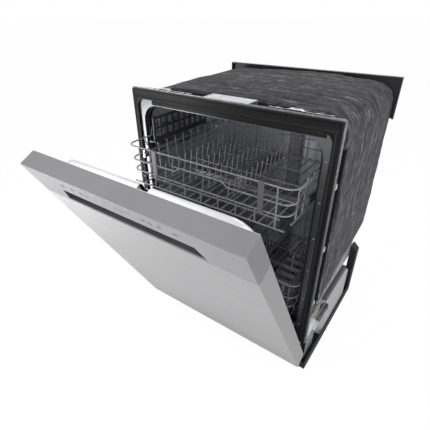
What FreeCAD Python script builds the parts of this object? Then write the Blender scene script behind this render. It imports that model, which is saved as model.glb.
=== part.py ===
"""Built-in dishwasher: cabinet, door ajar, upper rack part-way out, lower rack near home.

Millimetres, +Z up, front towards -Y, right-hand side (seen from the front) +X.
The origin is the middle of the base's underside.
"""
import math
import os

import FreeCAD
import Part
from FreeCAD import Vector

# ---------------------------------------------------------------- cabinet
CABINET_DEPTH = 530.0
TRIM_WIDTH = 600.0            # black frame round the tub mouth, outside
TRIM_TOP = 840.0
TRIM_SIDE_BAND = 17.0
TRIM_TOP_BAND = 26.0
TRIM_THICKNESS = 6.0
TRIM_FOOT = 190.0             # lower end of the frame's two legs
TRIM_CORNER_RADIUS = 3.0
FLANGE_OVERHANG = 4.5         # steel edge that shows outside the black frame
FLANGE_THICKNESS = 1.5
FLANGE_CORNER_RADIUS = 6.0
FLANGE_RING = 15.0            # steel ring inside the black frame
RING_HOLE_RADIUS = 2.0
RING_HOLES_PER_SIDE = 6
RING_HOLE_START = 60.0        # lowest hole above the frame's foot
REAR_BRACKET_WIDTH = 606.0
REAR_BRACKET_TOP = 850.0
REAR_BRACKET_HEIGHT = 125.0
REAR_BRACKET_FLANGE = 15.0
REAR_BRACKET_PLATE = 3.0
REAR_PAD_X = 164.0            # pads that tie the bracket to the tub's back wall
REAR_PAD_WIDTH = 60.0
REAR_PAD_HEIGHT = 30.0
REAR_PAD_RISE = 10.0

# ---------------------------------------------------------------- tub
TUB_LIP = 6.0                 # how far the ring stands in front of the tub's inside
TUB_WALL = 1.2
TUB_CORNER_RADIUS = 50.0
TUB_BACK_GAP = 21.0           # tub's back wall to the cabinet's rear plane
TUB_FLOOR_WALL = 1.5
TUB_LEDGE_WIDTH = 27.0        # wheel track along each side of the floor
TUB_LEDGE_RISE = 14.0
TUB_LIP_SETBACK = 46.0        # tub floor's front edge behind the cabinet's front plane
FLOOR_FRONT_FLANGE = 14.0
GASKET_SETBACK = 15.0
GASKET_DEPTH = 12.0
GASKET_GAP = 0.6              # relaxed gasket to the shut door's liner
SEAL_DEPTH = 5.0
SEAL_TUCK = 3.0               # lower seal below the tub floor's face

# ---------------------------------------------------------------- door
DOOR_WIDTH = 598.0
DOOR_HEIGHT = 733.0
DOOR_THICKNESS = 44.0
DOOR_GAP = 2.0                # shut door to the black frame
DOOR_ANGLE = 28.4             # how far the door stands open
PANEL_WALL = 1.0
CONSOLE_HEIGHT = 95.0
CONSOLE_WALL = 2.5
CONSOLE_SEAM = 0.5
CONSOLE_EDGE_RADIUS = 1.5
PANEL_EDGE_RADIUS = 0.8
LINER_DEPTH = 34.0
LINER_HALF_WIDTH = 260.0
LINER_TOP_DROP = 40.0         # liner's top wall below the console's top
LINER_CORNER_RADIUS = 42.0
LINER_EDGE_RADIUS = 9.0
LINER_WALL = 1.0
LINER_FLANGE_MARGIN = 1.0
LINER_FOOT = 22.0             # liner's bottom wall above the hinge axis
LINER_SWEEP_GAP = 1.0         # liner's face under the wheel tracks, door level

# ---------------------------------------------------------------- hinge
HINGE_HEIGHT = 170.0
HINGE_DROP = 68.0             # door's lower edge below the hinge axis, shut
HINGE_PIN_RADIUS = 4.0
HINGE_PIN_CLEARANCE = 0.05
HINGE_EYE_RADIUS = 8.0
HINGE_NOTCH_GAP = 1.2
HINGE_PLATE = 3.0
HINGE_PLATE_GAP = 1.0
HINGE_INSET = 6.0             # outer face of the hinge arm inside the door's side skin
HINGE_ARM_LENGTH = 130.0
HINGE_ARM_WIDTH = 22.0
HINGE_ARM_FOOT_RISE = 20.0    # arm's screwed flange above the hinge axis
HINGE_SWEEP_MARGIN = 5.0
BRACKET_FOOT_LENGTH = 60.0
BRACKET_TOP_RISE = 60.0
BRACKET_ARM_WIDTH = 24.0
SPRING_RADIUS = 4.6
SPRING_WIRE_RADIUS = 0.9
SPRING_TURNS = 18
SPRING_LEAST_GAP = 0.4
SPRING_LENGTH = 85.0
SPRING_HEIGHT = 152.0
SPRING_HOOK_PLATE = 2.0
BRACKET_NECK_GAP = 1.0        # hinge bracket's neck clear of the frame's foot
PIN_HEAD = 1.0
SLIDER_LENGTH = 30.0
SLIDER_WIDTH = 11.0
SLIDER_HEIGHT = 12.0
SLIDER_FRONT_ROOM = 22.0      # slider's way forwards as the door opens fully
SLIDER_GAP = 0.3

# ---------------------------------------------------------------- handle, keys, latch
POCKET_MOUTH_TOP = 48.0       # below the console's top
POCKET_MOUTH_BOTTOM = 87.0
POCKET_HALF_TOP = 186.0
POCKET_HALF_BOTTOM = 200.0
POCKET_DEPTH = 27.0
POCKET_UNDERCUT = 12.0
POCKET_WALL = 2.0
KEY_DROP = 25.0
KEY_PLACES = (-162.0, -128.0, -99.0, -81.0, 78.0, 96.0, 117.0, 154.0)
KEY_WIDTH = 9.0
KEY_HEIGHT = 7.0
KEY_RISE = 0.4
DISPLAY_WIDTH = 34.0
DISPLAY_HEIGHT = 12.0
DISPLAY_CENTRE = 15.0
LATCH_CENTRE = 15.0
LATCH_WIDTH = 28.0
LATCH_HEIGHT = 20.0
LATCH_WALL = 2.0
LATCH_FRONT_SKIN = 8.0
CLAW_PIN_RADIUS = 1.2
CLAW_PIN_RISE = 2.5           # above the latch's floor
CLAW_SETBACK = 14.0           # pin behind the latch's front wall
CLAW_SIDE_GAP = 8.0
CLAW_EYE_RADIUS = 2.2
CLAW_REACH = 9.0
CLAW_THICKNESS = 2.7
CLAW_TIP = 2.0
CLAW_TIP_RISE = 3.5
STRIKE_SETBACK = 11.0
STRIKE_THICKNESS = 2.5
STRIKE_WIDTH = 12.0
STRIKE_REACH = 12.0           # strike's tip below the liner's top wall, door shut
STRIKE_HOLE_RADIUS = 3.0
STRIKE_SLOT_GAP = 1.0
STRIKE_PLATE_LEFT = -55.0
STRIKE_PLATE_RIGHT = 75.0
STRIKE_PLATE_DEPTH = 47.0
STRIKE_PLATE_RISE = 35.0

# ---------------------------------------------------------------- detergent dispenser
DISPENSER_CENTRE_X = -20.0
DISPENSER_CENTRE_UP = 330.0   # above the hinge axis, along the door
DISPENSER_WIDTH = 180.0
DISPENSER_HEIGHT = 110.0
DISPENSER_DEPTH = 24.0
DISPENSER_PROUD = 2.0
DISPENSER_GAP = 0.4
LID_WIDTH = 84.0
LID_HEIGHT = 56.0
LID_THICKNESS = 3.0
LID_CENTRE_X = -38.0
LID_GRIP_WIDTH = 40.0
LID_GRIP_HEIGHT = 3.0
LID_GRIP_RISE = 1.5
LID_GRIP_MARGIN = 4.0
CUP_DEPTH = 18.0
CUP_WALL = 4.0
RINSE_CAP_RADIUS = 19.0
RINSE_CAP_CENTRE_X = 50.0
RINSE_CAP_THICKNESS = 5.0
RINSE_STEM_RADIUS = 8.0
RINSE_STEM_LENGTH = 10.0
RINSE_GRIP_WIDTH = 5.0
RINSE_GRIP_RISE = 2.5
RINSE_GRIP_MARGIN = 4.0
RINSE_WELL_ROOM = 1.0
SPINDLE_CLEARANCE = 0.05

# ---------------------------------------------------------------- upper rack
WIRE_RADIUS = 2.0
WIRE_BITE = 0.6               # how far welded wires sink into each other, as wire radii
UPRIGHTS = 9                  # per rack wall
UPPER_TOP = 709.0
UPPER_FLOOR = 604.0
UPPER_HALF_TOP = 253.0
UPPER_HALF_FLOOR = 236.0
UPPER_DEPTH = 432.0
UPPER_OUT = 125.0             # pulled out of the tub with the door at DOOR_ANGLE
RACK_CORNER_RADIUS = 26.0
RACK_CORNER_LEG = 8.0         # straight end of a rim wire behind its corner
RACK_SIDE_MARGIN = 14.0       # first upright of a side wall behind the corner's end
RACK_FLOOR_MARGIN = 30.0      # first cross wire of a floor behind its end wire
RACK_FLOOR_OVERHANG = 12.0
RACK_CROSS_WIRES = 5
UPPER_MIDDLE_DROP = 39.0
UPPER_LOWER_DROP = 69.0
JOG_RISE = 12.0
JOG_HALF = 66.0
JOG_RAMP = 16.0
JOG_BEND = 6.0
RACK_DOOR_GAP = 10.0          # rack's front wires to the shut door's liner
RUNNER_HEIGHT = 22.0
RUNNER_DROP = 38.0            # runner's top below the rack's top wire
RUNNER_WALL = 1.5
RUNNER_DEPTH = 6.0
RUNNER_SIDE_GAP = 1.0
RUNNER_LENGTH = 376.0
RUNNER_LEAD = 60.0             # runner's front end behind the rack's front
RUNNER_END_WALL = 3.0
RUNNER_TONGUE = 46.0
RAIL_WALL = 1.5
RAIL_GAP = 0.4
RAIL_FRONT_GAP = 2.0
RAIL_REAR_GAP = 6.0
SHOE_GAP = 0.4
SHOE_LENGTH = 60.0
SHOE_END_ROOM = 7.0           # front shoe to the runner's end wall with the rack pulled forwards
SHOE_REAR_PLACE = 150.0
CLIP_INSET = 1.0              # hanger clip's outer face inside the runner
CLIP_LOW = 4.0
UPPER_RACK_TRAVEL = 80.0      # of the rack along its runners
FRONT_BAR_WIDTH = 14.0
FRONT_BAR_THICKNESS = 2.5
FRONT_BAR_OVERLAP = 6.0
FRONT_BAR_PLACES = (-150.0, 173.0)
SHELF_WIDTH = 70.0
SHELF_LENGTH = 250.0
SHELF_THICKNESS = 4.0
SHELF_HINGE_DROP = 16.0
SHELF_ROD_RADIUS = 2.5
SHELF_HOLES = 9
SHELF_BAR = 6.0               # width of the bars between the shelf's windows
SHELF_KNUCKLE_WALL = 2.0
SHELF_WALL_GAP = 14.0         # hinge wire inside the rack's rim
SHELF_ROD_BEND = 4.0
UPPER_TINE_ROWS = (-150.0, -85.0, -20.0, 60.0)
UPPER_TINE_HEIGHT = 55.0
UPPER_TINE_LEAN = 6.0
UPPER_TINE_SETBACK = 30.0
TINES_PER_ROW = 14
TINE_END = 4.0

# ---------------------------------------------------------------- lower rack
LOWER_TOP = 375.0
LOWER_FLOOR = 240.0
LOWER_HALF_TOP = 255.0
LOWER_HALF_FLOOR = 238.0
LOWER_DEPTH = 430.0
LOWER_OUT = 35.0
LOWER_FRONT_SLOPE = 8.0
LOWER_MIDDLE_DROP = 50.0
LOWER_LOWER_DROP = 88.0
WHEEL_RADIUS = 17.0
WHEEL_WIDTH = 9.0
WHEEL_AXLE_RADIUS = 3.0
WHEEL_GAP = 0.5
WHEEL_SIDE_GAP = 3.0          # rack's wires to the wheels' inner faces
WHEEL_HUB_RISE = 1.0
WHEEL_DISH_DEPTH = 2.0
WHEEL_DISH_RADIUS = 12.0
WHEEL_HUB_WALL = 3.0
CARRIER_WIDTH = 24.0
CARRIER_THICKNESS = 2.5
CARRIER_DROP = 8.0
WHEEL_INSET_FRONT = 68.0
WHEEL_INSET_REAR = 60.0
BASKET_LENGTH = 210.0
BASKET_WIDTH = 62.0
BASKET_HEIGHT = 118.0
BASKET_WALL = 2.0
BASKET_RIGHT_GAP = 8.0
BASKET_FRONT_GAP = 16.0
BASKET_CELLS = 6
BASKET_ROWS = 6               # rows of windows
BASKET_BAR = 3.0              # bars between the windows
BASKET_FOOT_BAND = 18.0
BASKET_TOP_BAND = 12.0
BASKET_HANDLE_RISE = 45.0
BASKET_HANDLE_DROP = 20.0
BASKET_HANDLE_BAR = 8.0
BASKET_HANDLE_THICKNESS = 4.0
LOWER_TINE_ROWS = (-170.0, -100.0, -30.0, 50.0)
LOWER_TINE_HEIGHT = 80.0
LOWER_TINE_LEAN = 8.0
LOWER_TINE_SETBACK = 40.0
TINE_RADIUS = 1.6

# ---------------------------------------------------------------- water system
SUMP_RADIUS = 90.0
SUMP_DEPTH = 95.0
SUMP_WALL = 3.0
SUMP_FLANGE = 14.0
SUMP_FOOT_RADIUS = 56.0
FILTER_RADIUS = 38.0
FILTER_HEIGHT = 60.0
FILTER_GAP = 1.0
FILTER_WALL = 2.0
FILTER_RIM = 6.0
FILTER_RIM_HEIGHT = 3.0
FILTER_GRIP_RISE = 8.0
FILTER_GRIP_DROP = 10.0
FILTER_PLATE = 2.0
FILTER_PLATE_OVERLAP = 8.0
FILTER_CENTRE_Y = 45.0
FILTER_OFFSET = 26.0          # twist-out cup behind the middle of the sump
ARM_THICKNESS = 11.0
ARM_HUB_RADIUS = 24.0
ARM_WIDTH = 44.0
ARM_GAP = 0.5                 # arm to its stop below or above
ARM_JET_RADIUS = 1.5
ARM_JET_SHARES = (0.3, 0.5, 0.7, 0.9)
NUT_HEIGHT = 5.0
NUT_OVERLAP = 4.0
SPINDLE_RADIUS = 9.0
LOWER_ARM_REACH = 205.0
MIDDLE_ARM_REACH = 190.0
TOP_ARM_REACH = 105.0
ARM_DROP = 9.0                # arm's top face below the rack floor or manifold it hangs from
DUCT_WIDTH = 46.0
DUCT_DEPTH = 15.0
DUCT_TOP_GAP = 4.0
DUCT_HUB_DROP = 6.0
DUCT_HANGER = 12.0
TOP_ARM_Y = 0.0
MANIFOLD_HEIGHT = 14.0
MANIFOLD_HALF = 16.0
MANIFOLD_HUB_RADIUS = 24.0
MANIFOLD_TAIL = 4.0
MANIFOLD_HOOK = 6.0
MANIFOLD_HOOK_PLACE = 20.0
FLOAT_RADIUS = 14.0
FLOAT_HEIGHT = 22.0
FLOAT_STEM_RADIUS = 4.0
FLOAT_X = 150.0
FLOAT_Y = -150.0
FLOAT_GAP = 1.0
FLOAT_STEM_LENGTH = 40.0
PUMP_RADIUS = 45.0
PUMP_LENGTH = 120.0
PUMP_NECK_RADIUS = 16.0
PUMP_NECK_LENGTH = 32.0
PUMP_FOOT_WIDTH = 60.0
PUMP_FOOT_MARGIN = 20.0
DRAIN_PUMP_RADIUS = 26.0
DRAIN_PUMP_LENGTH = 70.0
DRAIN_PIPE_RADIUS = 12.0
DRAIN_SPIGOT_RADIUS = 9.5
DRAIN_SPIGOT_LENGTH = 25.0
DRAIN_HEIGHT = 90.0
DRAIN_MOTOR_RISE = 30.0
DRAIN_MOTOR_GAP = 13.0        # drain motor's front end inside the sump's rim
DRAIN_NECK_RADIUS = 13.0
DRAIN_NECK_LENGTH = 53.0
DRAIN_FOOT_WIDTH = 28.0
INLET_NECK_RADIUS = 15.5
INLET_THREAD_RADIUS = 13.1
INLET_THREAD_LENGTH = 14.0
INLET_HEIGHT = 70.0
INLET_X = -190.0
INLET_WALL = 4.0
INLET_BODY_WIDTH = 32.0
INLET_BODY_DEPTH = 40.0
INLET_BODY_SETBACK = 20.0
INLET_BORE_DEPTH = 26.0
INLET_COIL_RADIUS = 14.0
INLET_COIL_HEIGHT = 28.0

# ---------------------------------------------------------------- base and electrics
BASE_HALF_WIDTH = 300.0
BASE_FLOOR = 3.0
BASE_RIM = 24.0
BASE_RIM_WALL = 4.0
BASE_FRONT_SETBACK = 62.0
CHEEK_FRONT_HEIGHT = 36.0     # rails along the base pan's sides
CHEEK_HEIGHT = 40.0
PILLAR_SIZE = 34.0
PILLAR_TOP = 235.0
PILLAR_CHAMFER = 18.0
FOOT_RADIUS = 15.0
FOOT_STEM_RADIUS = 5.0
FOOT_HEIGHT = 3.0
FOOT_INSET_X = 40.0
FOOT_INSET_Y = 34.0
FOOT_BOSS_RADIUS = 19.0
FOOT_BOSS_HEIGHT = 30.0
FOOT_GAP = 0.4
CONTROL_BOX_WIDTH = 78.0
CONTROL_BOX_LENGTH = 215.0
CONTROL_BOX_HEIGHT = 165.0
CONTROL_BOX_LID = 14.0
CONTROL_BOX_EDGE_RADIUS = 8.0
CONTROL_BOX_SIDE_GAP = 1.0
CONTROL_BOX_REAR_GAP = 3.0
LID_OVERHANG = 1.0
LID_SETBACK = 4.0
JUNCTION_SIZE = 62.0
JUNCTION_HEIGHT = 66.0
JUNCTION_WALL = 1.5
JUNCTION_SIDE_GAP = 6.0
JUNCTION_FOOT_GAP = 40.0
CONDUIT_HEIGHT = 48.0         # supply cable's entry, over the rear foot and the base's rim
CONDUIT_RADIUS = 11.1
HARNESS_WIRE_RADIUS = 1.3
HARNESS_WIRES = 3
HARNESS_WIRE_MARGIN = 0.2     # outer wires inside the plug's sides
HARNESS_START = 150.0         # wires leave the control box at this height
PLUG_HEIGHT = 22.0
PLUG_LENGTH = 26.0
PLUG_RISE = 56.0              # plug's middle above where the wires start
PLUG_TUB_GAP = 0.6
PLUG_SETBACK = 5.0
HARNESS_LOOP = ((0.25, 0.0), (0.52, -8.0), (0.66, 14.0), (0.66, 40.0))   # share of the way to the plug, rise
HARNESS_LEAD = 0.74           # share of the way at which the wires level out
CLIP_HEIGHTS = (695.0, 525.0, 345.0)
CLIP_SIZE = 12.0

# ---------------------------------------------------------------- insulation blanket
BLANKET_SIDE_THICKNESS = 18.0
BLANKET_TOP_THICKNESS = 30.0
BLANKET_CROWN = 7.0
BLANKET_FRONT_CROWN = 4.2
BLANKET_SWELL = 2.0           # felt's bulge half-way back
BLANKET_REAR_SWELL = 0.5
BLANKET_REAR_TUCK = 1.0       # felt pressed down under the rear bracket
BINDING_CROWN = 2.8
BINDING_FRONT_CROWN = 1.0
BLANKET_FRONT_SETBACK = 42.0
BLANKET_SIDE_SETBACK = 74.0
BLANKET_BINDING_DEPTH = 26.0
BLANKET_BINDING_STEP = 2.0
BLANKET_LOW_FRONT = 266.0
BLANKET_LOW_REAR = 345.0
BLANKET_CORNER_RADIUS = 62.0
BLANKET_GAP = 0.3
BLANKET_NOTCH_GAP = 5.0       # blanket to the strike plate
BLANKET_PAD_GAP = 2.0         # blanket to the rear bracket's pads
BLANKET_REAR_GAP = 1.0

WORKTOP_TAB_LENGTH = 38.0
WORKTOP_TAB_WIDTH = 24.0
WORKTOP_TAB_SPACING = 380.0
WORKTOP_TAB_THICKNESS = 1.5
WORKTOP_HOLE_RADIUS = 2.6

BEYOND = 20.0                 # how far a cutter reaches past what it cuts

# ---------------------------------------------------------------- places worked out from the sizes
FRONT_Y = -CABINET_DEPTH / 2
REAR_Y = CABINET_DEPTH / 2
TRIM_HALF = TRIM_WIDTH / 2
TRIM_INNER_HALF = TRIM_HALF - TRIM_SIDE_BAND
TRIM_INNER_TOP = TRIM_TOP - TRIM_TOP_BAND
MOUTH_HALF = TRIM_INNER_HALF - FLANGE_RING
MOUTH_TOP = TRIM_INNER_TOP - FLANGE_RING
FLANGE_HALF = TRIM_HALF + FLANGE_OVERHANG
FLANGE_TOP = TRIM_TOP + FLANGE_OVERHANG
FLANGE_FRONT_Y = FRONT_Y + TRIM_THICKNESS
FLANGE_BACK_Y = FLANGE_FRONT_Y + FLANGE_THICKNESS
TUB_HALF = MOUTH_HALF + TUB_LIP
TUB_TOP = MOUTH_TOP + TUB_LIP
TUB_BACK_Y = REAR_Y - TUB_BACK_GAP
HINGE_Y = FRONT_Y - DOOR_GAP
LEDGE_TOP = HINGE_HEIGHT + LINER_DEPTH + LINER_SWEEP_GAP
TUB_FLOOR_TOP = LEDGE_TOP - TUB_LEDGE_RISE
TUB_FLOOR_FRONT_Y = FRONT_Y + TUB_LIP_SETBACK
DOOR_HALF = DOOR_WIDTH / 2
DOOR_BOTTOM = HINGE_HEIGHT - HINGE_DROP
DOOR_TOP = DOOR_BOTTOM + DOOR_HEIGHT
DOOR_FRONT_Y = HINGE_Y - DOOR_THICKNESS
LINER_TOP = DOOR_TOP - LINER_TOP_DROP
LINER_BOTTOM = HINGE_HEIGHT + LINER_FOOT
LINER_FACE_Y = HINGE_Y + LINER_DEPTH
SHELL_BACK_Y = HINGE_Y - LINER_WALL
RACK_HOME_Y = LINER_FACE_Y + RACK_DOOR_GAP
UPPER_FRONT_Y = RACK_HOME_Y - UPPER_OUT
UPPER_BACK_Y = UPPER_FRONT_Y + UPPER_DEPTH
LOWER_FRONT_Y = RACK_HOME_Y - LOWER_OUT
LOWER_BACK_Y = LOWER_FRONT_Y + LOWER_DEPTH
ARM_OUTER_X = DOOR_HALF - PANEL_WALL - HINGE_INSET
ARM_INNER_X = ARM_OUTER_X - HINGE_PLATE
BRACKET_OUTER_X = ARM_INNER_X - HINGE_PLATE_GAP
BRACKET_INNER_X = BRACKET_OUTER_X - HINGE_PLATE
DOOR_SWEEP = math.hypot(DOOR_THICKNESS, HINGE_DROP) + HINGE_SWEEP_MARGIN
BRACKET_Y = HINGE_Y + DOOR_SWEEP
BASE_FRONT_Y = FRONT_Y + BASE_FRONT_SETBACK
GASKET_INNER_HALF = LINER_HALF_WIDTH + GASKET_GAP
GASKET_INNER_TOP = LINER_TOP + GASKET_GAP
GASKET_Y = FRONT_Y + GASKET_SETBACK
RUNNER_OUTER_X = GASKET_INNER_HALF - RUNNER_SIDE_GAP
RUNNER_INNER_X = RUNNER_OUTER_X - RUNNER_DEPTH
RUNNER_TOP = UPPER_TOP - RUNNER_DROP
RUNNER_BOTTOM = RUNNER_TOP - RUNNER_HEIGHT

X_AXIS = Vector(1, 0, 0)
Z_AXIS = Vector(0, 0, 1)


# ---------------------------------------------------------------- helpers
def block(x0, x1, y0, y1, z0, z1):
    """Box between two corners."""
    return Part.makeBox(x1 - x0, y1 - y0, z1 - z0, Vector(x0, y0, z0))


def rod(start, end, radius):
    """Straight round bar between two points."""
    start = Vector(*start)
    end = Vector(*end)
    return Part.makeCylinder(radius, (end - start).Length, start, end - start)


def tube(start, end, outer, inner):
    """Straight pipe between two points."""
    return rod(start, end, outer).cut(rod(start, end, inner))


def mirrored(shape):
    """The same piece on the other side of the middle plane."""
    return shape.mirror(Vector(0, 0, 0), X_AXIS)


def pair(shape):
    """A right-hand piece and its left-hand twin."""
    return Part.makeCompound([shape, mirrored(shape)])


def fused(shapes):
    """One solid from touching shapes."""
    shapes = list(shapes)
    return shapes[0].multiFuse(shapes[1:]).removeSplitter()


def side_plate(points, x0, x1):
    """Plate of constant thickness along X from an outline in Y and Z."""
    corners = [Vector(x0, y, z) for y, z in points]
    face = Part.Face(Part.makePolygon(corners + corners[:1]))
    return face.extrude(Vector(x1 - x0, 0, 0))


def front_plate(points, y0, y1):
    """Plate of constant thickness along Y from an outline in X and Z."""
    corners = [Vector(x, y0, z) for x, z in points]
    face = Part.Face(Part.makePolygon(corners + corners[:1]))
    return face.extrude(Vector(0, y1 - y0, 0))


def arch_face(half, top, foot, radius, y):
    """Face in the XZ plane: straight legs, flat top, two round upper corners."""
    corner = radius * (1 - math.sqrt(0.5))
    left_foot = Vector(-half, y, foot)
    left_up = Vector(-half, y, top - radius)
    left_mid = Vector(-half + corner, y, top - corner)
    left_top = Vector(-half + radius, y, top)
    right_top = Vector(half - radius, y, top)
    right_mid = Vector(half - corner, y, top - corner)
    right_up = Vector(half, y, top - radius)
    right_foot = Vector(half, y, foot)
    edges = [
        Part.LineSegment(left_foot, left_up).toShape(),
        Part.Arc(left_up, left_mid, left_top).toShape(),
        Part.LineSegment(left_top, right_top).toShape(),
        Part.Arc(right_top, right_mid, right_up).toShape(),
        Part.LineSegment(right_up, right_foot).toShape(),
        Part.LineSegment(right_foot, left_foot).toShape(),
    ]
    return Part.Face(Part.Wire(edges))


def arch(half, top, foot, radius, y0, y1):
    """Arch face drawn out along Y."""
    return arch_face(half, top, foot, radius, y0).extrude(Vector(0, y1 - y0, 0))


def arch_band(outer, inner, y0, y1):
    """Arch with an arch-shaped opening; each is (half, top, foot, radius)."""
    return arch(*outer, y0, y1).cut(arch(*inner, y0, y1))


def corner_arc(start, corner, end):
    """Arc that touches both legs of a corner, whose ends lie equally far from it."""
    into = (corner - start).normalize()
    out = (end - corner).normalize()
    half_turn = into.getAngle(out) / 2
    radius = (corner - start).Length / math.tan(half_turn)
    middle = corner + (out - into).normalize() * (radius / math.cos(half_turn) - radius)
    return Part.Arc(start, middle, end).toShape()


def bent_wire(points, radius, bend):
    """Round wire through points, with every corner an arc of the given radius."""
    points = [Vector(*p) for p in points]
    edges = []
    start = points[0]
    for before, corner, after in zip(points, points[1:], points[2:]):
        into = (corner - before).normalize()
        out = (after - corner).normalize()
        trim = bend * math.tan(into.getAngle(out) / 2)
        arc_start = corner - into * trim
        arc_end = corner + out * trim
        if (arc_start - start).Length > 1e-6:
            edges.append(Part.LineSegment(start, arc_start).toShape())
        edges.append(corner_arc(arc_start, corner, arc_end))
        start = arc_end
    edges.append(Part.LineSegment(start, points[-1]).toShape())
    path = Part.Wire(edges)
    heading = (points[1] - points[0]).normalize()
    profile = Part.Wire(Part.makeCircle(radius, points[0], heading))
    return path.makePipeShell([profile], True, False)


def spaced(first, last, count):
    """Evenly spaced values with both ends."""
    return [first + (last - first) * i / (count - 1) for i in range(count)]


def opened(shape):
    """Turn a piece of the shut door about the hinge to the door's angle."""
    turned = shape.copy()
    turned.rotate(Vector(0, HINGE_Y, HINGE_HEIGHT), X_AXIS, DOOR_ANGLE)
    return turned


def spray_arm(y, z, reach):
    """Flat two-ended arm on the middle plane with a hub and jet holes, its top face at z."""
    low = z - ARM_THICKNESS
    half = ARM_WIDTH / 2
    blade = block(-reach + half, reach - half, y - half, y + half, low, z)
    ends = [rod((side * (reach - half), y, low), (side * (reach - half), y, z), half) for side in (-1, 1)]
    hub = rod((0, y, low), (0, y, z), ARM_HUB_RADIUS)
    arm = fused([blade, hub] + ends)
    jets = [rod((side * reach * share, y + side * ARM_WIDTH / 5, z - ARM_THICKNESS / 2),
                (side * reach * share, y + side * ARM_WIDTH / 5, z + 1), ARM_JET_RADIUS)
            for side in (-1, 1) for share in ARM_JET_SHARES]
    bore = rod((0, y, low - 1), (0, y, z + 1), SPINDLE_RADIUS + SPINDLE_CLEARANCE)
    return arm.cut(Part.makeCompound(jets + [bore]))


def nut(y, z):
    """Collar on a spindle that holds a spray arm, its lower face at z."""
    return rod((0, y, z), (0, y, z + NUT_HEIGHT), SPINDLE_RADIUS + NUT_OVERLAP)


# ---------------------------------------------------------------- cabinet pieces
def base_frame():
    half = BASE_HALF_WIDTH
    floor = block(-half, half, BASE_FRONT_Y, REAR_Y, 0, BASE_FLOOR)
    rim = block(-half, half, BASE_FRONT_Y, REAR_Y, 0, BASE_RIM).cut(
        block(-half + BASE_RIM_WALL, half - BASE_RIM_WALL,
              BASE_FRONT_Y + BASE_RIM_WALL, REAR_Y - BASE_RIM_WALL, 0, BASE_RIM))
    inner = TUB_HALF + TUB_WALL
    pillar = front_plate([
        (inner, 0), (half, 0), (half, PILLAR_TOP - PILLAR_CHAMFER),
        (half - PILLAR_CHAMFER, PILLAR_TOP), (inner, PILLAR_TOP)],
        REAR_Y - PILLAR_SIZE, REAR_Y)
    cheek = side_plate([
        (BASE_FRONT_Y, 0), (BASE_FRONT_Y, CHEEK_FRONT_HEIGHT), (BRACKET_Y, CHEEK_HEIGHT),
        (REAR_Y, CHEEK_HEIGHT), (REAR_Y, 0)], half - BASE_RIM_WALL, half)
    bosses = [rod((x, y, 0), (x, y, FOOT_BOSS_HEIGHT), FOOT_BOSS_RADIUS) for x, y in foot_places()]
    frame = fused([floor, rim, pillar, mirrored(pillar), cheek, mirrored(cheek)] + bosses)
    for x, y in foot_places():
        recess = rod((x, y, 0), (x, y, FOOT_HEIGHT + FOOT_GAP), FOOT_RADIUS + FOOT_GAP)
        bore = rod((x, y, 0), (x, y, FOOT_BOSS_HEIGHT), FOOT_STEM_RADIUS)
        frame = frame.cut(recess).cut(bore)
    return frame


def foot_places():
    x = BASE_HALF_WIDTH - FOOT_INSET_X
    ends = (BASE_FRONT_Y + FOOT_INSET_Y, REAR_Y - PILLAR_SIZE - FOOT_INSET_Y)
    return [(side * x, y) for side in (-1, 1) for y in ends]


def levelling_feet():
    feet = []
    for x, y in foot_places():
        pad = rod((x, y, 0), (x, y, FOOT_HEIGHT), FOOT_RADIUS)
        stem = rod((x, y, 0), (x, y, FOOT_BOSS_HEIGHT + FOOT_HEIGHT), FOOT_STEM_RADIUS)
        feet.append(fused([pad, stem]))
    return Part.makeCompound(feet)


def tub_wrapper():
    outer = (TUB_HALF + TUB_WALL, TUB_TOP + TUB_WALL, TUB_FLOOR_TOP - TUB_FLOOR_WALL, TUB_CORNER_RADIUS + TUB_WALL)
    inner = (TUB_HALF, TUB_TOP, TUB_FLOOR_TOP - TUB_FLOOR_WALL, TUB_CORNER_RADIUS)
    shell = arch_band(outer, inner, FLANGE_BACK_Y, TUB_BACK_Y)
    slot_half = STRIKE_WIDTH / 2 + STRIKE_SLOT_GAP
    slot_back = FRONT_Y + STRIKE_SETBACK + STRIKE_THICKNESS + STRIKE_SLOT_GAP
    slot = block(LATCH_CENTRE - slot_half, LATCH_CENTRE + slot_half, FLANGE_BACK_Y, slot_back,
                 TUB_TOP - 1, TUB_TOP + 2 * TUB_WALL)
    return shell.cut(slot)


def tub_back_wall():
    return arch(TUB_HALF + TUB_WALL, TUB_TOP + TUB_WALL, TUB_FLOOR_TOP - TUB_FLOOR_WALL,
                TUB_CORNER_RADIUS + TUB_WALL, TUB_BACK_Y, TUB_BACK_Y + TUB_WALL)


def tub_floor():
    low = TUB_FLOOR_TOP - TUB_FLOOR_WALL
    pan = block(-TUB_HALF, TUB_HALF, TUB_FLOOR_FRONT_Y, TUB_BACK_Y, low, TUB_FLOOR_TOP)
    lip = block(-TUB_HALF, TUB_HALF, TUB_FLOOR_FRONT_Y, TUB_FLOOR_FRONT_Y + TUB_FLOOR_WALL,
                low - FLOOR_FRONT_FLANGE, LEDGE_TOP - TUB_LEDGE_RISE / 2)
    ledge_inner = TUB_HALF - TUB_LEDGE_WIDTH
    ledge = block(ledge_inner, TUB_HALF, TUB_FLOOR_FRONT_Y, TUB_BACK_Y, low, LEDGE_TOP)
    hole = rod((0, FILTER_CENTRE_Y, low), (0, FILTER_CENTRE_Y, TUB_FLOOR_TOP), SUMP_RADIUS)
    float_hole = rod((FLOAT_X, FLOAT_Y, low), (FLOAT_X, FLOAT_Y, TUB_FLOOR_TOP),
                     FLOAT_STEM_RADIUS + SPINDLE_CLEARANCE)
    return fused([pan, lip, ledge, mirrored(ledge)]).cut(hole).cut(float_hole)


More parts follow.
